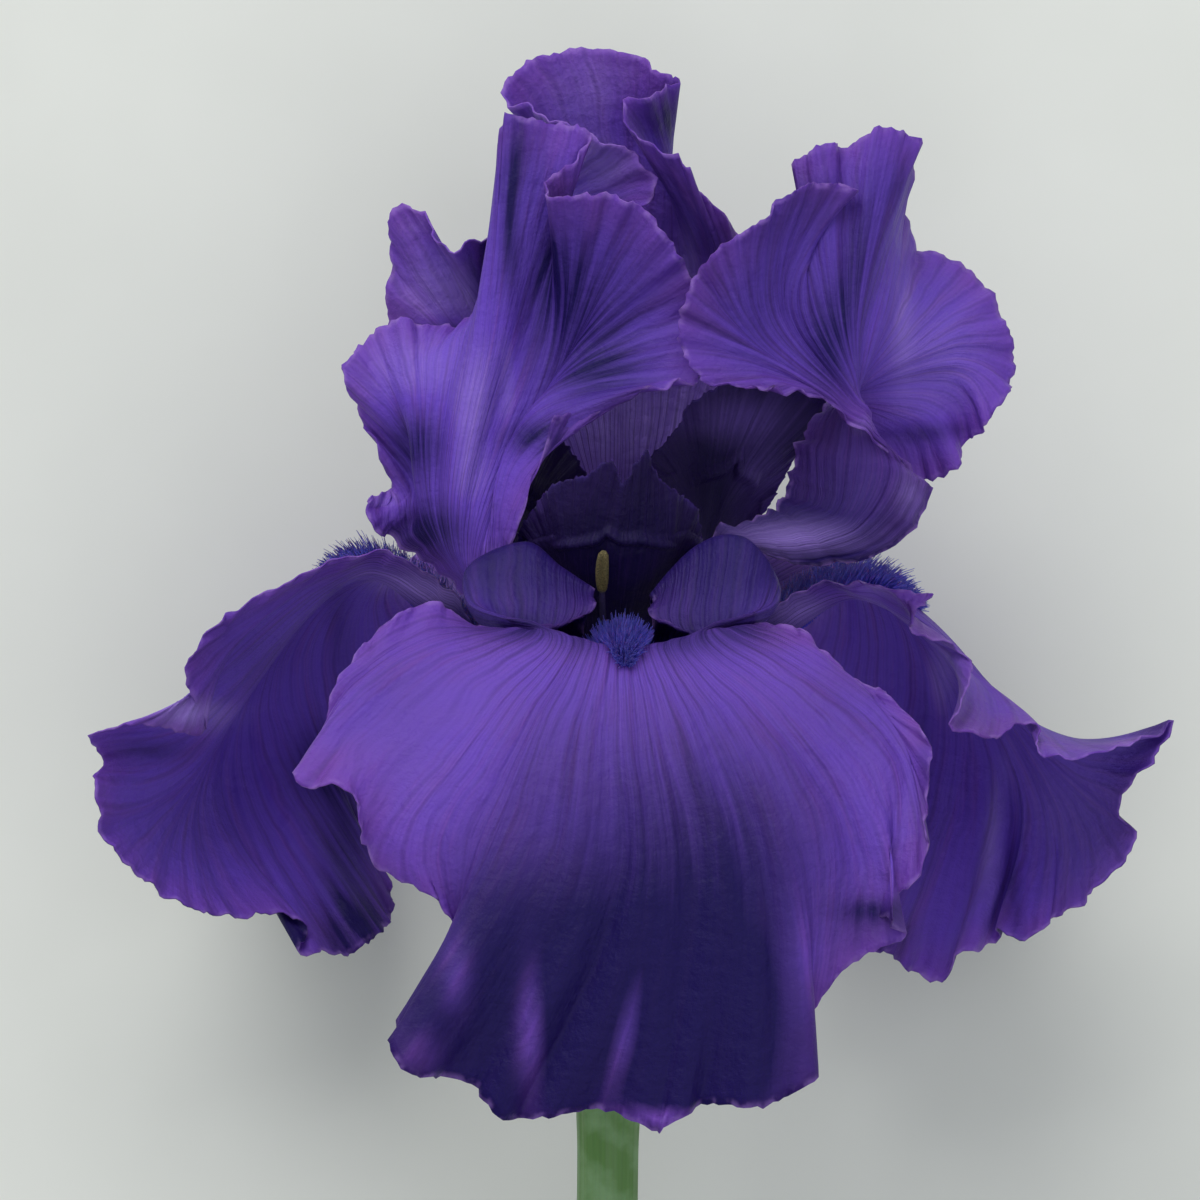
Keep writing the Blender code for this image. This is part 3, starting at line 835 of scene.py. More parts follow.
FALL_FRONT = (
    tube_mouth(0, 5.5, 2.6),
    (
        (-4, 12, 13), (-7, 12, 12), (-8, 8, 12), (-4, 4, 12), (0.5, 3, 12), (5, 4, 12), (9, 8, 12),
        (8, 12, 12), (5, 12, 13),
    ),
    (
        (-2.5, 20.5, 20), (-7, 23.2, 19.5), (-12.5, 26.5, 18), (-20, 23, 18), (-16, 14, 20),
        (-8, 9.5, 20), (0.5, 8, 20), (8, 9.5, 20), (16.5, 14, 20.5), (22.5, 20.5, 21), (18.5, 27, 22),
        (12, 26, 20.5), (5.3, 19.8, 20),
    ),
    (
        (-2.6, 17.8, 24), (-7, 17, 25.2), (-12.5, 17, 25), (-19.5, 19, 23), (-15, 13, 24),
        (-8, 10.5, 24.5), (0.5, 9.5, 24.5), (8, 10.5, 24.5), (16.5, 13, 24.5), (22, 18.5, 25),
        (17, 18, 27), (11, 16.4, 26), (5.2, 17, 24),
    ),
    (
        (-17, 15.5, 27), (-11, 15, 33), (-5, 14, 36), (1.5, 12.5, 38), (8, 13.5, 36), (14, 15, 33),
        (20, 16, 27),
    ),
    (
        (-24, 19, 31), (-24, 11, 38), (-16, 5, 44), (-8, 2, 47), (2, 1, 48), (12, 2, 47), (20, 5, 44),
        (27, 9, 39), (26, 15, 32),
    ),
    (
        (-30, 16.5, 34), (-35, 5, 41), (-31, -5, 47), (-22, -12, 51), (-11, -17, 53), (3, -19, 54),
        (15, -17, 54), (25, -12, 53), (34, -6, 49), (38, 1, 43), (31, 9.5, 36),
    ),
    (
        (-33, 12.5, 34), (-37, 9, 38), (-40, -1, 41), (-42, -5.3, 46), (-36.5, -6.2, 49), (-34, -11, 49),
        (-32, -16, 47), (-23, -21.5, 51), (-18.5, -29, 47), (-29, -37.5, 57), (-27.5, -43.5, 60),
        (-19, -45, 54), (-14, -50, 56), (-2, -48.5, 53), (6, -51.5, 58), (12, -48, 55), (20, -48, 58),
        (27, -44, 55), (26, -38, 52), (31, -30, 52), (39, -24.5, 55), (35, -22, 50), (41, -17, 53),
        (42, -9, 50), (42.5, 0, 46), (36, 7.5, 38),
    ),
)
FALL_LEFT = (
    tube_mouth(-120, 5.5, 2.6),
    ((-10, 11, -13), (-13, 8, -7), (-16, 12, -3)),
    ((-18, 18, -21), (-21, 12.5, -13), (-22.5, 20.5, -4)),
    ((-23, 25, -27), (-30, 22, -22), (-34, 23, -17), (-33, 22.5, -11), (-30, 25.5, -6)),
    (
        (-28, 23, -37), (-38, 13, -43), (-48, 3, -42), (-55, -5, -38), (-58, -8, -31), (-60, -8, -23),
        (-60, -2, -15), (-55, 9, -8), (-45, 22, -3),
    ),
    (
        (-25, 19, -43), (-27, 10, -49), (-31, 0, -52), (-35, -9, -50), (-34, -17, -45), (-31, -24, -38),
        (-33, -28, -30), (-37, -30.5, -24), (-43, -30, -18), (-43.2, -26.5, -19.5), (-47, -25, -20),
        (-52, -25, -17), (-58, -24.5, -12), (-63, -21, -9), (-68, -17, -5), (-71.5, -11, -3),
        (-72, -6, -3), (-70, -3, -6), (-72, 0, -2), (-66, 2, -3), (-57, 1, -12), (-59, 9, -4),
        (-54, 17.5, -1),
    ),
)
FALL_RIGHT = (
    tube_mouth(120, 5.5, 2.6),
    ((15, 12, -2), (13, 8, -7), (10, 11, -13)),
    ((22.5, 18.5, -3), (21, 12, -13), (17, 22, -20)),
    ((29, 21.5, -4), (33, 19.5, -10), (35, 21, -17), (32, 22, -23), (25, 28, -28)),
    (
        (38, 21, 0), (46, 12, -6), (55, 5, -12), (62, -1, -20), (62, -6, -28), (57, -6, -36),
        (49, 0, -42), (38, 12, -43), (28, 24, -37),
    ),
    (
        (44, 19.5, -2), (41, 15, 4), (49, 12, 0), (49, 7, 5), (47, 2, 6), (52, 0.5, 3), (58, 1.5, -4),
        (61, -2.5, 4), (70, -0.5, 2), (78, 3, -4), (74, -3.5, -2), (71, -9, -8), (72, -15, -6),
        (66, -22, -10), (62, -26, -16), (57, -28, -12), (54, -28, -20), (50, -31, -15), (46, -34, -17),
        (42, -33, -20), (38, -30, -27), (32, -31, -32), (33, -24, -40), (34, -14, -47), (31, -3, -51),
        (28, 8, -48), (25, 18, -43),
    ),
)
STANDARD_LEFT = (
    tube_mouth(-60, 4.2, 1.9),
    ((-9.5, 11, 2.5), (-10, 10, 5), (-8, 9, 8)),
    ((-27, 25.5, 2), (-24, 27, 8), (-21, 26, 12), (-18, 23, 13.5), (-14.5, 20, 12.5)),
    (
        (-33, 29, 7), (-28, 36, 3), (-28, 47, 8), (-21, 54, 7), (-16.5, 60, 10), (-10, 59, 6),
        (-6, 53, 8), (-10, 45, 13), (-11.4, 33, 16.5),
    ),
    (
        (-34, 33, 6), (-28.5, 36.5, 0), (-32, 39, 3), (-35, 45, 2), (-37, 51, 7), (-33, 56, 2),
        (-28, 58, 3), (-22, 57, -1), (-18, 60, -2), (-15, 69, 3), (-15, 79, 5), (-15.3, 86, 7),
        (-9, 85, 7), (-3.5, 84, 9), (-5, 80, 10), (-9.5, 75, 14), (0, 74.5, 17), (7, 70, 15),
        (12, 60, 12), (12, 50, 14), (5, 48.5, 16.5), (1, 46, 15), (-8, 44.5, 16.5),
    ),
)
STANDARD_RIGHT = (
    tube_mouth(60, 4.2, 1.9),
    ((10, 15, 9), (10.5, 16.5, 7.5), (9.5, 18.5, 6)),
    ((17, 26, 17), (15.5, 27.3, 16), (14, 28.5, 13.5)),
    ((27, 24, 18), (25, 27, 18.5), (22.5, 30, 15), (21, 31, 12)),
    ((37.5, 26, 16), (33, 29.5, 17), (29, 32, 13.5), (23.8, 34, 8)),
    ((43.5, 34, 11), (39, 36.5, 14), (33, 38, 13.5), (28.2, 39.5, 9), (25.6, 40, 5)),
    ((35, 41.5, 16), (35, 44, 15), (33.5, 46, 12.5), (31, 46, 7), (28.5, 45, 3)),
    (
        (28, 46.8, 17), (20, 54, 15), (24, 60, 13), (31, 60, 13), (35, 60, 11.5), (41, 57, 2),
        (47, 52, -2), (42, 44, -2), (33, 42.5, -2),
    ),
    (
        (21.5, 47.8, 19), (12.5, 49.6, 18.5), (9, 57, 17), (13, 66, 18), (20, 71, 18), (26, 76, 16),
        (33, 76, 11), (25, 79, 7), (29, 82, 9), (33, 82, 6), (37, 84.5, 7), (42.5, 82, 3), (40, 75, -3),
        (43, 69, -7), (50, 65, -9), (54, 59, -7), (56, 51, -7), (52, 44, -1), (49, 41, -5), (47, 37, -2),
        (43, 36, -6), (39, 37, -5), (35, 39, -5),
    ),
)
STANDARD_BACK = (
    tube_mouth(180, 4.2, 1.9)[::-1],
    ((-4, 14, -10), (1, 13, -13), (5, 14, -10)),
    ((-9, 31, -15), (-4, 30, -19), (1, 29, -20), (7, 30, -19), (11, 31, -15)),
    (
        (-17, 44, -8), (-20, 54, -11), (-17, 64, -13), (-8, 72, -13), (-1, 74, -13), (7, 72, -11),
        (15, 64, -8), (20, 54, -7), (17, 45, -10),
    ),
    (
        (-20, 49, -4), (-25, 53, -8), (-31, 57, -13), (-31, 66, -12), (-31, 73, -9), (-27, 74, -9),
        (-22, 68, -3), (-12, 71, -2), (4, 74, 3), (5, 79, 3), (-2, 83.5, 2), (-10, 86, 1),
        (-15, 89.5, -4), (-12, 94, -7), (-4, 96, -8), (3, 95, -6), (7, 92.5, -2), (9.5, 91, 1),
        (2, 88, 6), (2.5, 84, 7), (9, 80, 6), (11, 77, 2), (15, 73, -2), (18, 69, -4), (20, 64, -1),
        (20, 60, -1), (21, 55, -3), (19, 50, -7),
    ),
)
STYLE_FRONT = (
    tube_mouth(0, 1.9, 1.0),
    ((-3.5, 8, 4.5), (0, 8.5, 6.5), (3.5, 8, 4.5)),
    ((-7, 17, 7.5), (0, 17, 12.5), (7, 17, 7.5)),
    ((-11, 25.5, 11), (-5, 26, 16.5), (0.5, 26.5, 18.5), (6, 26, 16.5), (11, 25.5, 11)),
    (
        (-13, 27, 10), (-11.5, 31, 14), (-8, 35, 18), (-3.7, 36.3, 21), (-0.3, 38.3, 23),
        (1.3, 35.5, 21.5), (3, 37, 22.5), (4.5, 39.7, 22), (5.5, 37, 20), (8, 34.5, 18), (11.5, 32, 14),
        (12.5, 27.5, 11),
    ),
)
STYLE_LEFT = (
    tube_mouth(-120, 1.9, 1.0),
    ((-6, 9.5, -5.5), (-6.5, 8.5, -2), (-4.5, 8, 1)),
    ((-13, 20, -7), (-12, 20, -3), (-8, 18, 1)),
    ((-17, 31, -9), (-13, 30, -6), (-9, 30, -3)),
    (
        (-19, 36, -9), (-18, 43, -8), (-14, 45.5, -6), (-10, 44.5, -3), (-6, 40.5, 0), (-3.6, 36, 1),
        (-5, 31, 0),
    ),
)
STYLE_RIGHT = (
    tube_mouth(120, 1.9, 1.0),
    ((4.5, 8, 1), (6.5, 8.5, -2), (6, 9.5, -5.5)),
    ((8, 18, 1), (12, 20, -3), (13, 20, -7)),
    ((9, 30, -2), (14, 31, -6), (19, 29, -9)),
    (
        (6, 33, 1), (4.7, 37.5, 1), (8.4, 42.5, 0), (13, 48, -1), (22, 51, -3), (30.5, 47, -5),
        (26.5, 40.5, -8), (23, 34.5, -9), (20.5, 30, -9),
    ),
)

FRONT_CREASES = (
    Crease(0.475, 0.014, -2.0, 0.7),
    Crease(0.455, 0.014, 1.6, 0.7),
    Crease(0.565, 0.014, -1.8, 0.74),
    Crease(0.52, 0.02, 1.0, 0.7),
    Crease(0.65, 0.014, -1.6, 0.68),
    Crease(0.78, 0.022, -2.6, 0.55, 0.06),
    Crease(0.25, 0.016, -1.6, 0.6),
    Crease(0.14, 0.016, 1.2, 0.6),
)
LEFT_CREASES = (
    Crease(0.36, 0.014, -1.6, 0.6),
    Crease(0.42, 0.012, -1.4, 0.65),
    Crease(0.55, 0.02, -1.0, 0.7),
    Crease(0.76, 0.014, 1.4, 0.7),
)
RIGHT_CREASES = (
    Crease(0.53, 0.012, -1.6, 0.65),
    Crease(0.575, 0.012, -1.8, 0.6),
    Crease(0.625, 0.012, -1.8, 0.62),
    Crease(0.31, 0.02, -1.4, 0.7),
)


# Patches on each piece: partly its own blotches, partly painted shade and painted light where its folds fall
# into shade or catch the light
PIGMENT_AND_PAINTED_LIGHT_PATCHES: dict[str, tuple[Patch, ...]] = {
    "fall_front": (
        Patch(10, -34, 8, 8, 0.4), Patch(20, -36, 2, 7, 0.3), Patch(-4, -37, 4, 9, 0.4),
        Patch(10, -45, 7, 3, 0.3), Patch(-12, -11, 9, 8, -0.3), Patch(35, -24, 4, 3, 0.55),
        Patch(42, -8, 1.3, 9, 0.5), Patch(26, -28, 2.5, 7, -0.45), Patch(-11, -39, 1.6, 8, -0.7),
        Patch(1.5, -39, 1.6, 8, -0.7, 0.25), Patch(8, -50, 12, 1.3, -1.2), Patch(-26, -41, 3, 3, -0.4),
        Patch(-21, -30, 2, 5, -0.5), Patch(30, 4, 8, 9, 0.25), Patch(16, 15, 7, 3, 0.75),
        Patch(-13, 15.5, 8, 2.2, 0.8), Patch(-11, 22, 8, 4, 0.35), Patch(15, 22, 7, 4, 0.45),
        Patch(25, 18, 3, 3.5, -0.5), Patch(-30, 6, 7, 7, 0.15), Patch(-4, 13.5, 3, 2.2, 0.5),
        Patch(8, 13.5, 4, 2.5, 0.6), Patch(35, -22, 5, 1.5, 0.6),
    ),
    "fall_left": (
        Patch(-38, -15, 4.5, 14, 0.75), Patch(-35, -27, 5, 5, 0.9), Patch(-38.5, 15, 2, 8, 0.35),
        Patch(-42, -4, 4, 5, 0.8), Patch(-65, -1.5, 6, 2, 0.6), Patch(-59, 3.7, 5, 2, -0.9),
        Patch(-26, 21, 6.5, 2.5, -0.9, -2.0), Patch(-52, 12, 8, 5, 0.2), Patch(-58, -12, 9, 9, -0.12),
    ),
    "fall_right": (
        Patch(65, -11, 7, 11, -0.3), Patch(56.5, -23, 1.3, 7, 0.6), Patch(54, -15, 1.3, 10, -0.6, 0.15),
        Patch(47, 9, 2, 5, -0.5), Patch(37, -28, 5, 3, 0.7), Patch(44, -5, 2, 12, 0.4),
        Patch(72, -1, 3, 1.5, -0.6), Patch(36, 22, 2, 2, -0.5), Patch(30, 22.5, 5, 1.5, 0.6),
        Patch(26, 18, 4, 2.5, -0.6),
    ),
    "standard_left": (
        Patch(-4, 56, 10, 13, 0.8, -0.2), Patch(-8, 66, 4, 7, 0.5), Patch(-27, 40.5, 4.5, 5, 0.9),
        Patch(-25, 29, 8, 4, 0.95), Patch(-14.2, 74, 1.5, 14, 0.7), Patch(-11, 41.5, 5, 2.5, 0.8),
        Patch(-19.5, 40, 2.5, 14, -0.4, 0.12), Patch(-31, 33, 3, 1.5, -0.6), Patch(-14.5, 52, 1.4, 9, -0.5),
        Patch(-12, 81, 3, 7, 0.45), Patch(-1, 50, 6, 3, 0.3), Patch(-17, 27, 3, 5, -0.3),
        Patch(4, 66, 7, 7, 0.25), Patch(-28, 51, 8, 5, -0.3), Patch(-19.5, 46, 3, 8, -0.2, 0.12),
    ),
    "standard_right": (
        Patch(20, 58, 12, 12, 0.55), Patch(30, 53, 4, 10, 0.5), Patch(34, 66, 3, 12, 0.6, 0.25),
        Patch(25, 74, 10, 6, 0.4), Patch(39, 77, 3, 5, 0.3), Patch(44, 42.5, 6, 1.5, 0.65, 1.5),
        Patch(40, 58, 1.6, 9, -0.35), Patch(44, 53, 8, 8, -0.3), Patch(32, 36, 4, 4, 0.2),
        Patch(33, 24.5, 5, 1.0, 0.5), Patch(24, 27.5, 9, 2.4, -0.6), Patch(34, 43, 2, 1.5, -0.4),
        Patch(41, 34, 2, 3, -0.4),
    ),
    "standard_back": (
        Patch(5, 86, 4, 3.5, 0.8), Patch(8.5, 86, 1.5, 6, 0.6), Patch(-3, 90, 6, 6, -0.35),
        Patch(-2, 80, 4.5, 3, -0.7), Patch(-23, 63, 6, 5, -0.5), Patch(-19.5, 63, 1.5, 4, -0.4),
        Patch(-17.5, 66, 1.5, 6, 0.9), Patch(-22, 56, 5, 2, 1.0), Patch(5, 44, 16, 8, -1.0),
        Patch(11, 67, 1.5, 5, -0.6), Patch(15, 70, 3, 4, 0.4), Patch(-27, 71, 3, 2, -0.2),
        Patch(-20, 70, 5, 1.2, 0.6),
    ),
    "style_arm_front": (Patch(-11, 32, 2, 5, -0.3), Patch(3, 35, 5, 5, 0.4), Patch(-5, 29.5, 8, 2, 0.4)),
    "style_arm_left": (),
    "style_arm_right": (Patch(18, 44.5, 7, 3, -0.5), Patch(21, 37, 4, 5, -0.4), Patch(12, 33, 2, 6, 0.4)),
}


@dataclass
class Beard:
    """The fuzzy beard on a fall's midrib: many short, slightly club-ended hairs."""

    name: str
    fall: Petal
    reach: tuple = (0.16, 0.52)  # share of the fall's length that it covers
    half_width: float = 2.9
    hairs: int = 3200
    length: float = 6.0
    radius: float = 0.1
    seed: int = 5

    def build(self, lie: Lie, finish: bpy.types.Material) -> bpy.types.Object:
        """Plants the hairs.

        Each hair is a three-sided taper along a curve that starts square to the fall and bends outwards,
        its bend growing with the square of the way up it.

        Args:
            lie: How the flower lies.
            finish: The hairs' material.

        Returns:
            The beard's object, with the way up each hair as a value.
        """
        rng = np.random.default_rng(self.seed)
        sheet = self.fall.sheet()
        normals = sheet_normals(sheet)
        along = np.gradient(sheet, axis=0)
        along /= np.linalg.norm(along, axis=2, keepdims=True)
        middle = sheet.shape[1] // 2
        across = np.cross(normals, along)[:, middle]
        way = self.reach[0] + (self.reach[1] - self.reach[0]) * rng.random(self.hairs)
        rank = way * (len(sheet) - 1)
        low = np.floor(rank).astype(int)
        part = (rank - low)[:, None]

        def on_midrib(field: Array) -> Array:
            """A field of the sheet read between ranks on its midrib."""
            return field[low] * (1 - part) + field[low + 1] * part

        offset = (rng.random(self.hairs) * 2 - 1)[:, None]
        position = (way - self.reach[0]) / (self.reach[1] - self.reach[0])
        fullness = np.sin(np.pi * np.clip(0.12 + 0.86 * position, 0, 1)) ** 0.5
        side = on_midrib(across)
        root = on_midrib(sheet[:, middle]) + side * offset * self.half_width * fullness[:, None]
        up = on_midrib(normals[:, middle]) + side * offset * 0.55 + rng.normal(0, 0.16, (self.hairs, 3))
        up /= np.linalg.norm(up, axis=1, keepdims=True)
        lean = on_midrib(along[:, middle]) * rng.uniform(0.1, 0.75, (self.hairs, 1))
        length = self.length * fullness * (1 - 0.35 * np.abs(offset[:, 0]))
        length = length * rng.uniform(0.65, 1.1, self.hairs)

        steps = np.array([0.0, 0.35, 0.7, 1.0])
        rise = steps[None, :, None] * length[:, None, None]
        spine = root[:, None] + up[:, None] * rise + lean[:, None] * rise * steps[None, :, None]
        first = np.cross(up, (0.3, 0.5, 0.8))
        first /= np.linalg.norm(first, axis=1, keepdims=True)
        second = np.cross(up, first)
        turn = np.arange(3) * 2 * np.pi / 3
        ring = np.cos(turn)[None, :, None] * first[:, None] + np.sin(turn)[None, :, None] * second[:, None]
        girth = self.radius * np.array([1.0, 0.85, 0.95, 0.45])
        points = spine[:, :, None] + girth[None, :, None, None] * ring[:, None]
        one = np.concatenate([grid_faces(4, 3, wrap=True, flip=True), [[0, 1, 2, -1], [11, 10, 9, -1]]])
        starts = np.arange(self.hairs)[:, None, None] * 12
        faces = np.where(one[None] < 0, -1, one[None] + starts).reshape(-1, 4)
        count = self.hairs * 12
        made = Shell(
            points.reshape(-1, 3),
            faces,
            np.zeros((count, 2)),
            {"tip": np.tile(np.repeat(steps, 3), self.hairs), "way": np.repeat(position, 12)},
        )
        return made.piece(self.name, lie, finish)


@dataclass(frozen=True)
class BeardHair:
    """Living plant hair, grown as single long cells: translucent, so a tuft of them glows at its tips."""

    throat: str = "#3A32A8"  # roots down in the claw
    blade: str = "#3E3AC0"  # roots out on the blade
    tip: str = "#8286F4"
    shade: str = "#281E80"

    def material(self) -> bpy.types.Material:
        """Builds the material.

        Returns:
            The material, blue-violet at the root and paler at the tip, in uneven tufts.
        """
        work = Workshop.open("living_hair_grown_in_tufts")
        node = work.node
        tip = node("Attribute", {}, "Fac", attribute_name="tip")
        way = node("Attribute", {}, "Fac", attribute_name="way")
        out = node("MapRange", {0: way, 1: 0.1, 2: 0.6})
        colour = node("Mix", {0: out, 6: linear(self.throat), 7: linear(self.blade)}, **COLOURS)
        up = node("MapRange", {0: tip, 1: 0.3, 2: 1.0, 3: 0.0, 4: 0.65})
        colour = node("Mix", {0: up, 6: colour, 7: linear(self.tip)}, **COLOURS)
        tufts = node("TexNoise", {"Vector": work.place, "Scale": 1.5})
        tufts = node("MapRange", {0: tufts, 1: 0.4, 2: 0.7, 3: 0.0, 4: 0.3})
        colour = node("Mix", {0: tufts, 6: colour, 7: linear(self.shade)}, **COLOURS)
        return work.close({
            "Base Color": colour,
            "Roughness": 0.6,
            "Specular IOR Level": 0.25,
            "Sheen Weight": 0.15,
            "Sheen Tint": linear("#9C98FF"),
            "Subsurface Weight": 0.2,
            "Subsurface Scale": 0.0008,
        })


@dataclass
class Stamen:
    """A stamen under its style arm: a thin filament that carries a long two-lobed anther."""

    name: str
    arm: Petal
    top: float  # share of the arm's length that it reaches
    foot: float = 0.06
    anther_from: float = 0.8
    clearance: float = 1.9
    filament: float = 0.4  # radius
    swelling: float = 0.35  # how much wider the anther is than the filament
    rings: int = 60
    sides: int = 20

    def build(self, lie: Lie, finish: bpy.types.Material) -> bpy.types.Object:
        """Sweeps the stamen along the style arm's midrib, a little off its outer face.

        The section is round on the filament; on the anther its radius is stretched by a cosine of twice
        the angle, which makes two lobes with a furrow between them.

        Args:
            lie: How the flower lies.
            finish: The stamen's material.

        Returns:
            The stamen's object, with its anther as a value.
        """
        sheet = self.arm.sheet()
        middle = sheet.shape[1] // 2
        ranks = np.linspace(0, 1, len(sheet))
        climb = np.linspace(self.foot, self.top, self.rings)
        spine = spline(sheet[:, middle], ranks, climb)
        rise = spline(sheet_normals(sheet)[:, middle], ranks, climb)
        way = np.linspace(0, 1, self.rings)
        on_anther = np.clip((way - self.anther_from) / (1 - self.anther_from), 0, 1)
        swell = np.sin(np.pi * np.clip(on_anther * 0.94 + 0.03, 0, 1)) ** 0.45 * (on_anther > 0)
        radius = self.filament + self.swelling * swell - 0.25 * (way > 0.985)  # the last ring is drawn in
        turn = np.linspace(0, 2 * np.pi, self.sides, endpoint=False)
        lobed = 1 + swell[:, None] * (0.42 * np.cos(2 * turn) - 0.2 * np.cos(4 * turn))[None]
        grid = swept(spine - rise * self.clearance, radius[:, None] * lobed, self.sides)
        anther = np.repeat(np.clip(on_anther * 30, 0, 1)[:, None], self.sides, axis=1)
        return closed_tube(grid, {"anther": anther}).piece(self.name, lie, finish)


@dataclass(frozen=True)
class StamenSkin:
    """A smooth living filament and an anther dusted with dry grains of pollen, which take its shine away."""

    # The filament's and the pollen's colours are set dark, partly their own colour and partly painted shade
    # under the style arm
    filament: str = "#2E2158"
    pollen: str = "#766A42"
    furrow: str = "#42391F"

    def material(self) -> bpy.types.Material:
        """Builds the material.

        Returns:
            The material; the mesh's anther value is 1 where the pollen lies.
        """
        work = Workshop.open("living_filament_dusted_with_pollen_partly_painted_shade")
        node = work.node
        anther = node("Attribute", {}, "Fac", attribute_name="anther")
        grains = node("TexNoise", {"Vector": work.place, "Scale": 6.0, "Detail": 3.0})
        heaped = node("MapRange", {0: grains, 1: 0.35, 2: 0.65})
        pollen = node("Mix", {0: heaped, 6: linear(self.furrow), 7: linear(self.pollen)}, **COLOURS)
        return work.close({
            "Base Color": node("Mix", {0: anther, 6: linear(self.filament), 7: pollen}, **COLOURS),
            "Normal": node("Bump", {"Strength": 0.7, "Distance": 0.0004, "Height": grains}),
            "Roughness": 0.75,
            "Subsurface Weight": 0.1,
            "Subsurface Scale": 0.0005,
        })


@dataclass
class Stalk:
    """The parts below the petals: the perianth tube, the ovary, the stem and its two spathes."""

    sides: int = 96

    def tube(self) -> Shell:
        """The perianth tube: a cone with six shallow ribs that opens a little at its mouth.

        The ribs are a cosine of six times the angle, and the mouth flares by a falling exponential.

        Returns:
            The closed shell.
        """
        down = np.linspace(0.0, TUBE_SPAN[1], 40)
        radius = np.interp(down, TUBE_SPAN, TUBE_RADIUS) + 0.7 * np.exp(-down / 2.0)
        turn = np.linspace(0, 2 * np.pi, self.sides, endpoint=False)
        ribs = 1 + 0.05 * np.cos(6 * turn)
        return self.run(down, radius[:, None] * ribs[None])

    def ovary(self) -> Shell:
        """The ovary: a barrel with three lobes and a groove along each.

        The barrel is a power of a sine along it, and the lobes are cosines of three and six times the angle.

        Returns:
            The closed shell.
        """
        way = np.linspace(0, 1, 60)
        down = OVARY_SPAN[0] + (OVARY_SPAN[1] - OVARY_SPAN[0]) * way
        swell = np.sin(np.pi * (0.25 + 0.5 * way)) ** 0.8
        turn = np.linspace(0, 2 * np.pi, self.sides, endpoint=False)
        lobes = 1 + 0.07 * np.cos(3 * turn) - 0.03 * np.cos(6 * turn)
        return self.run(down, OVARY_RADIUS * swell[:, None] * lobes[None])

    def stem(self) -> Shell:
        """The stem: nearly round, with faint ridges, a slight swelling at its joint and a square-cut end.

        The ridges are a cosine of seventeen times the angle, and the swelling is a bell along the stem.

        Returns:
            The closed shell.
        """
        down = np.linspace(*STEM_SPAN, 160)
        turn = np.linspace(0, 2 * np.pi, self.sides, endpoint=False)
        ridges = 1 + 0.008 * np.cos(17 * turn)[None] + 0.012 * np.cos(2 * turn + 0.6)[None]
        joint = 1 + 0.05 * np.exp(-(((down - 52.0) / 4.0) ** 2))
        return self.run(down, STEM_RADIUS * joint[:, None] * ridges)

    def run(self, down: Array, radius: Array) -> Shell:
        """A closed round body along the stem's centre line.

        Args:
            down: Distances below the tube's mouth.
            radius: Radius at each distance and side.

        Returns:
            The closed shell, with the distances as a value.
        """
        path = stem_point(down)
        grid = swept(path, radius, self.sides)
        distance = np.repeat(np.asarray(down)[:, None], self.sides, axis=1)
        return closed_tube(grid, {"down": distance})

    def spathe(self, radius: float, facing: float, half_angle: float, tip_down: float, seed: int) -> Shell:
        """A papery bract wrapped round the ovary.

        Its half angle falls with a power of the way up, so it comes to a point; its radius bulges by a
        sine of the way up and clasps the stem at its foot.

        Args:
            radius: Distance from the stem's centre.
            facing: Degrees round the stem from the front.
            half_angle: Degrees it covers to either side at its foot.
            tip_down: Distance of its tip below the tube's mouth.
            seed: Starts its random wrinkles.

        Returns:
            The closed shell.
        """
        rng = np.random.default_rng(seed)
        ranks, columns = 90, 121
        way = np.linspace(0, 1, ranks)
        down = SPATHE_FOOT + (tip_down - SPATHE_FOOT) * way
        reach = radius + (radius - 1.0) * 0.12 * np.sin(np.pi * way) - (1 - way) ** 3
        spread = np.radians(half_angle) * np.maximum(1 - way**2.2, 0.05)
        share = np.linspace(-1, 1, columns)
        angle = np.radians(facing) + spread[:, None] * share[None]
        wrinkle = ripple(share * half_angle, (14.0, 23.0, 9.0), rng)[None] * 0.16 * way[:, None]
        distance = reach[:, None] + wrinkle
        centre = stem_point(down)
        side, front = axis_point(1, 0, 0), axis_point(0, 1, 0)
        grid = centre[:, None] + distance[..., None] * (
            np.sin(angle)[..., None] * side + np.cos(angle)[..., None] * front
        )
        across = run_lengths(grid, 1)
        along = run_lengths(grid, 0)
        edge = np.minimum(np.minimum(across, across[:, -1:] - across), along[-1:] - along)
        uv = np.stack(np.broadcast_arrays((share[None] + 1) / 2, way[:, None]), axis=-1)
        return closed_sheet(grid, np.full(edge.shape, 0.3), uv, {"edge": edge})


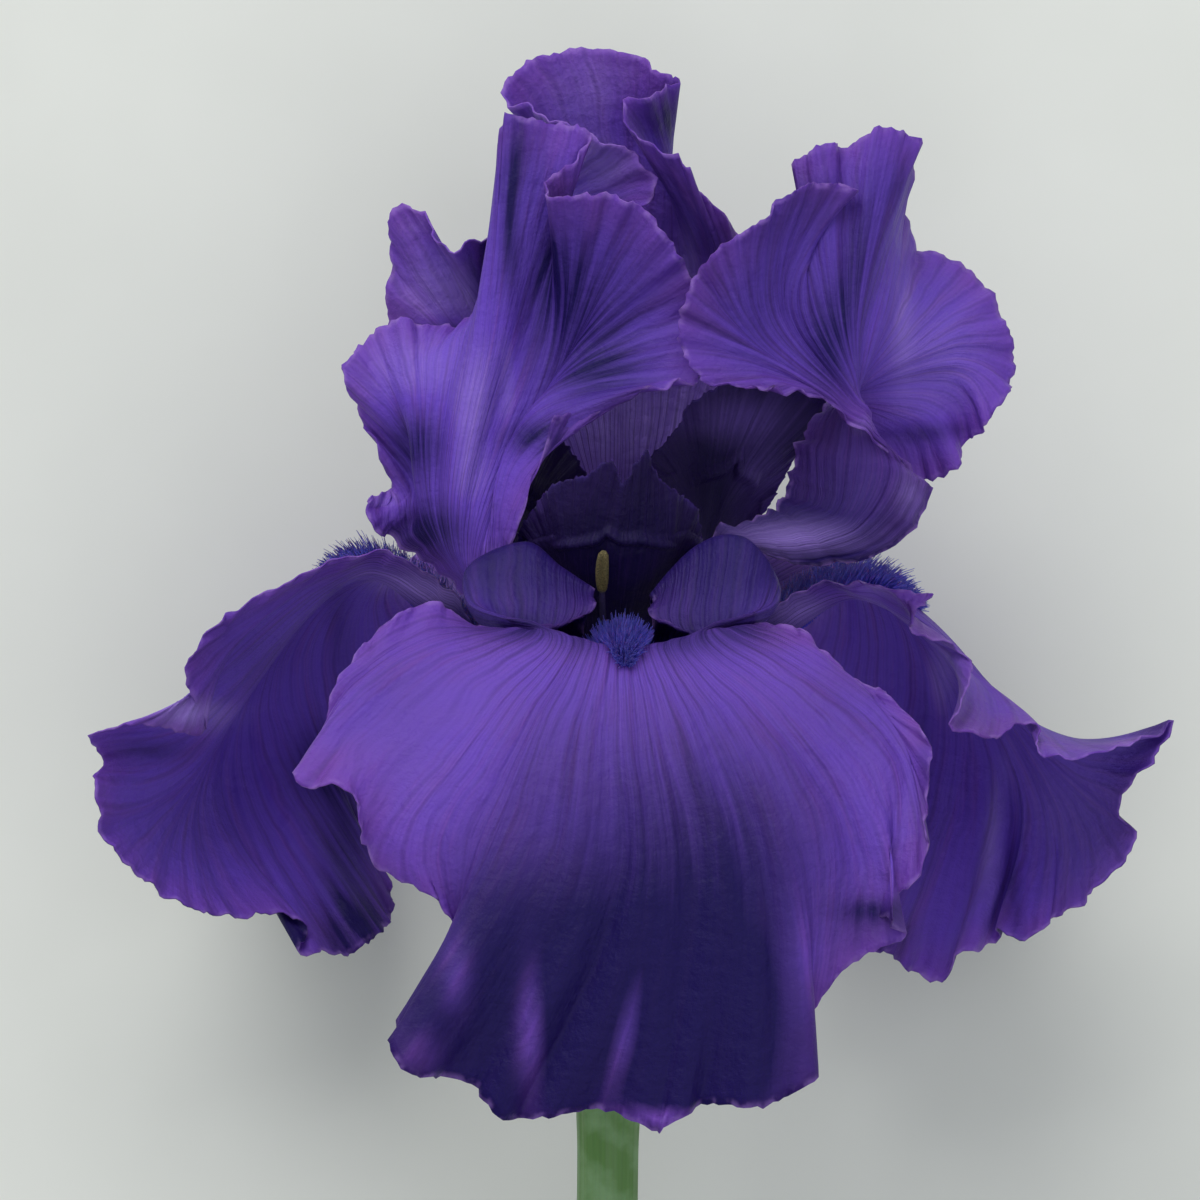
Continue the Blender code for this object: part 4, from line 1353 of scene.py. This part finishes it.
@dataclass(frozen=True)
class WaxySkin:
    """Waxy green plant skin, grown in lengthwise fibres under a pale bloom.

    The bloom rubs off in patches, so the eye sees dull grey-green beside a clearer, glossier green.
    """

    name: str
    upper: str
    lower: str
    change: tuple = (0.0, 1.0)  # mm below the tube's mouth between which the colour changes
    bloom: str = "#8CAA84"
    fibre: str = "#3C5C2A"
    fibres: tuple = (60.0, 5.0, 1.0)  # cells of the fibrous noise round the piece and along it

    def material(self) -> bpy.types.Material:
        """Builds the material.

        Returns:
            The material; the mesh's down value is the distance below the tube's mouth.
        """
        work = Workshop.open(self.name)
        node, place = work.node, work.place
        down = node("Attribute", {}, "Fac", attribute_name="down")
        uv = node("UVMap", {}, uv_map="UVMap")
        drawn_out = node("VectorMath", {0: uv, 1: self.fibres}, operation="MULTIPLY")
        fibres = node("TexNoise", {"Vector": drawn_out, "Scale": 1.0, "Detail": 3.0})
        lower = node("MapRange", {0: down, 1: self.change[0], 2: self.change[1]})
        colour = node("Mix", {0: lower, 6: linear(self.upper), 7: linear(self.lower)}, **COLOURS)
        dark = node("MapRange", {0: fibres, 1: 0.35, 2: 0.7, 3: 0.0, 4: 0.35})
        colour = node("Mix", {0: dark, 6: colour, 7: linear(self.fibre)}, **COLOURS)
        patches = node("TexNoise", {"Vector": place, "Scale": 0.18, "Detail": 4.0})
        patches = node("MapRange", {0: patches, 1: 0.4, 2: 0.62, 3: 0.05, 4: 0.5})
        colour = node("Mix", {0: patches, 6: colour, 7: linear(self.bloom)}, **COLOURS)
        grain = node("TexNoise", {"Vector": place, "Scale": 3.0})
        height = node("Math", {0: grain, 1: 0.2, 2: fibres}, operation="MULTIPLY_ADD")
        return work.close({
            "Base Color": colour,
            "Normal": node("Bump", {"Strength": 0.25, "Distance": 0.0005, "Height": height}),
            "Roughness": node("MapRange", {0: patches, 1: 0.05, 2: 0.5, 3: 0.38, 4: 0.58}),
            "Specular IOR Level": 0.4,
            "Subsurface Weight": 0.08,
            "Subsurface Scale": 0.0015,
        })


@dataclass(frozen=True)
class BractSkin:
    """A bract grown green with parallel veins, its margins and tip dried to dull straw-coloured paper."""

    green: str = "#8CA05C"
    straw: str = "#BFAA78"
    vein: str = "#6B7F48"

    def material(self) -> bpy.types.Material:
        """Builds the material.

        Returns:
            The material; the mesh's edge value is the distance from the margin.
        """
        work = Workshop.open("living_bract_dried_to_paper")
        node, place = work.node, work.place
        edge = node("Attribute", {}, "Fac", attribute_name="edge")
        uv = node("UVMap", {}, uv_map="UVMap")
        u, v = node("SeparateXYZ", {0: uv}, "X"), node("SeparateXYZ", {0: uv}, "Y")
        sway = node("TexNoise", {"Vector": place, "Scale": 0.2})
        wandering = node("Math", {0: sway, 1: 0.05, 2: u}, operation="MULTIPLY_ADD")
        line = node("CombineXYZ", {0: wandering})
        bands = node("TexWave", {0: line, 1: 9.0}, "Fac")  # about 29 veins across
        lines = node("MapRange", {0: bands, 1: 0.6, 2: 1.0})
        blotches = node("TexNoise", {"Vector": place, "Scale": 0.35, "Detail": 4.0})
        tipward = node("Math", {0: blotches, 1: 0.5, 2: v}, operation="MULTIPLY_ADD")
        dry_tip = node("MapRange", {0: tipward, 1: 0.75, 2: 1.1})
        dry_edge = node("MapRange", {0: edge, 1: 0.2, 2: 1.6, 3: 0.9, 4: 0.0})
        dry = node("Math", {0: dry_tip, 1: dry_edge}, operation="MAXIMUM")
        colour = node("Mix", {0: dry, 6: linear(self.green), 7: linear(self.straw)}, **COLOURS)
        faint = node("Math", {0: lines, 1: 0.4}, operation="MULTIPLY")
        colour = node("Mix", {0: faint, 6: colour, 7: linear(self.vein)}, **COLOURS)
        crinkle = node("TexNoise", {"Vector": place, "Scale": 1.2, "Detail": 4.0})
        height = node("Math", {0: crinkle, 1: 1.5, 2: lines}, operation="MULTIPLY_ADD")
        return work.close({
            "Base Color": colour,
            "Normal": node("Bump", {"Strength": 0.35, "Distance": 0.0004, "Height": height}),
            "Roughness": 0.6,
            "Subsurface Weight": 0.12,
            "Subsurface Scale": 0.001,
        })


@dataclass(frozen=True)
class FloorPaint:
    """Matt pale paint rolled on a board, very faintly uneven, so it takes a soft shadow and no shine."""

    light: str = "#E0E2DA"
    dark: str = "#DADCD4"

    def material(self) -> bpy.types.Material:
        """Builds the material.

        Returns:
            The material, a shade darker in broad clouds.
        """
        work = Workshop.open("matt_paint_rolled_on_a_board")
        node = work.node
        uneven = node("TexNoise", {"Vector": work.place, "Scale": 0.02, "Detail": 3.0})
        share = node("MapRange", {0: uneven, 1: 0.3, 2: 0.7})
        colour = node("Mix", {0: share, 6: linear(self.dark), 7: linear(self.light)}, **COLOURS)
        return work.close({"Base Color": colour, "Roughness": 0.8})


@dataclass
class Studio:
    """The floor, the lights and the camera."""

    view_centre: tuple = (-1.7, 19.3, 0.0)  # mm, in the flower's frame
    view_width: float = 166.0
    distance: float = 1.5  # metres to the camera
    lamp_distance: float = 1.3

    def floor(self) -> None:
        """A plain pale floor."""
        bpy.ops.mesh.primitive_plane_add(size=4.0, location=(0, 0, 0))
        made = bpy.context.object
        made.name = "floor"
        made.data.materials.append(FloorPaint().material())

    def light(self, name: str, lie: Lie, way: tuple, size: float, power: float, colour: str) -> None:
        """Hangs a square soft light, aimed at the flower.

        Args:
            name: The light's name.
            lie: How the flower lies.
            way: Direction of the light, in the flower's frame.
            size: Length of its side, in metres.
            power: Its power, in watts.
            colour: Its colour.
        """
        lamp = bpy.data.lights.new(name, "AREA")
        lamp.size, lamp.energy, lamp.color = size, power, linear(colour)[:3]
        made = bpy.data.objects.new(name, lamp)
        bpy.context.collection.objects.link(made)
        aim = lie.way(way)
        made.location = Vector(lie.down(self.view_centre)) + aim * self.lamp_distance
        made.rotation_euler = aim.to_track_quat("Z", "Y").to_euler()

    def lights(self, lie: Lie) -> None:
        """Hangs a broad key beyond the standards and a weak fill overhead, in a pale room.

        Args:
            lie: How the flower lies.
        """
        self.light("key", lie, (-0.25, 0.85, 0.55), 1.1, 13.0, "#FFFFFF")
        self.light("fill", lie, (0.3, -0.2, 1.0), 1.4, 5.0, "#F4F6FF")
        world = bpy.data.worlds.new("pale_room")
        bpy.context.scene.world = world
        bpy.context.scene.view_settings.view_transform = "Standard"
        world.use_nodes = True
        back = world.node_tree.nodes["Background"]
        back.inputs["Color"].default_value = linear("#E8ECF0")
        back.inputs["Strength"].default_value = 0.52

    def camera(self, lie: Lie) -> None:
        """Sets up a long lens looking down on the flower, square to its front fall.

        Args:
            lie: How the flower lies.
        """
        lens = bpy.data.cameras.new("camera")
        lens.sensor_width = 36.0
        lens.lens = lens.sensor_width * self.distance / (self.view_width * MM)
        made = bpy.data.objects.new("camera", lens)
        bpy.context.collection.objects.link(made)
        right, up, back = (lie.way(axis) for axis in ((1, 0, 0), (0, 1, 0), (0, 0, 1)))
        place = Matrix((right, up, back)).transposed().to_4x4()
        place.translation = Vector(lie.down(self.view_centre)) + back * self.distance
        made.matrix_world = place
        lens.clip_start, lens.clip_end = 0.05, 20.0
        bpy.context.scene.camera = made


def main() -> None:
    """Builds the flower piece by piece, then the studio round it."""
    logging.basicConfig(level=logging.INFO, format="%(message)s")
    lie = Lie()
    fall_skin = PetalSkin("living_fall_petal")
    standard_skin = PetalSkin("living_standard_petal", veins=56, dark=0.0, claw=0.2)
    # The right standard's strap is darkened up to 0.64 of its length: painted shade under the overhanging
    # fan
    strap_skin_with_painted_shade = PetalSkin("living_standard_petal_with_painted_shade_on_claw", veins=56, dark=0.0, claw=0.64)
    # The style arms' colours are set far darker than the petals' to paint the shade they lie in under the
    # standards
    style_skin_darkened_as_painted_shade = PetalSkin(
        "living_style_arm_darkened_as_painted_shade",
        lit="#1A0F46",
        back="#150C3A",
        deep="#0E072A",
        pale="#6A50A8",
        margin="#2A184E",
        rim="#3A2A70",
        veins=16,
        dark=0.3,
    )
    falls = tuple(
        Petal(name, fall_skin, rows, seed=seed, creases=creases)
        for name, rows, seed, creases in (
            ("fall_front", FALL_FRONT, 11, FRONT_CREASES),
            ("fall_left", FALL_LEFT, 12, LEFT_CREASES),
            ("fall_right", FALL_RIGHT, 13, RIGHT_CREASES),
        )
    )
    ruffled = {"ruffle": 0.55, "ruffle_lengths": (3.6, 5.3, 8.0)}
    standards = (
        Petal("standard_left", standard_skin, STANDARD_LEFT, seed=14, **ruffled),
        Petal("standard_right", strap_skin_with_painted_shade, STANDARD_RIGHT, seed=15, **ruffled),
        Petal("standard_back", standard_skin, STANDARD_BACK, seed=16, inner=Face.REVERSE, **ruffled),
    )
    narrow = {"ranks": 150, "columns": 141, "pleat": 0.3, "ruffle": 0.4, "creases": (Lip(),)}
    arms = (
        Petal("style_arm_front", style_skin_darkened_as_painted_shade, STYLE_FRONT, seed=21, **narrow),
        Petal("style_arm_left", style_skin_darkened_as_painted_shade, STYLE_LEFT, seed=22, **narrow),
        Petal("style_arm_right", style_skin_darkened_as_painted_shade, STYLE_RIGHT, seed=23, **narrow),
    )
    skins = {skin: skin.material() for skin in (fall_skin, standard_skin, strap_skin_with_painted_shade, style_skin_darkened_as_painted_shade)}
    for petal in falls + standards + arms:
        petal.build(lie, skins[petal.skin])

    hair, pollen = BeardHair().material(), StamenSkin().material()
    tops = (0.78, 0.6, 0.6)
    for place, fall, arm, top in zip(("front", "left", "right"), falls, arms, tops):
        Beard(f"beard_{place}", fall).build(lie, hair)
        Stamen(f"stamen_{place}", arm, top).build(lie, pollen)

    stalk, bract = Stalk(), BractSkin().material()
    tube_skin = WaxySkin("living_tube_skin_under_bloom", "#443878", "#5C8040", (2.0, 18.0), "#7C8AA0")
    ovary_skin = WaxySkin("living_ovary_skin_under_bloom", "#567E3C", "#567E3C")
    stem_skin = WaxySkin("living_stem_skin_under_bloom", "#4E7A34", "#5E8A42", (44.0, 120.0), "#8CAE84")
    stalk.tube().piece("perianth_tube", lie, tube_skin.material())
    stalk.ovary().piece("ovary", lie, ovary_skin.material())
    stalk.stem().piece("stem", lie, stem_skin.material())
    outer = stalk.spathe(radius=7.2, facing=200, half_angle=110, tip_down=8.0, seed=31)
    inner = stalk.spathe(radius=6.2, facing=20, half_angle=100, tip_down=14.0, seed=32)
    outer.piece("outer_spathe", lie, bract)
    inner.piece("inner_spathe", lie, bract)

    studio = Studio()
    studio.floor()
    studio.lights(lie)
    studio.camera(lie)

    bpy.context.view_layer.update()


if __name__ == "__main__":
    main()
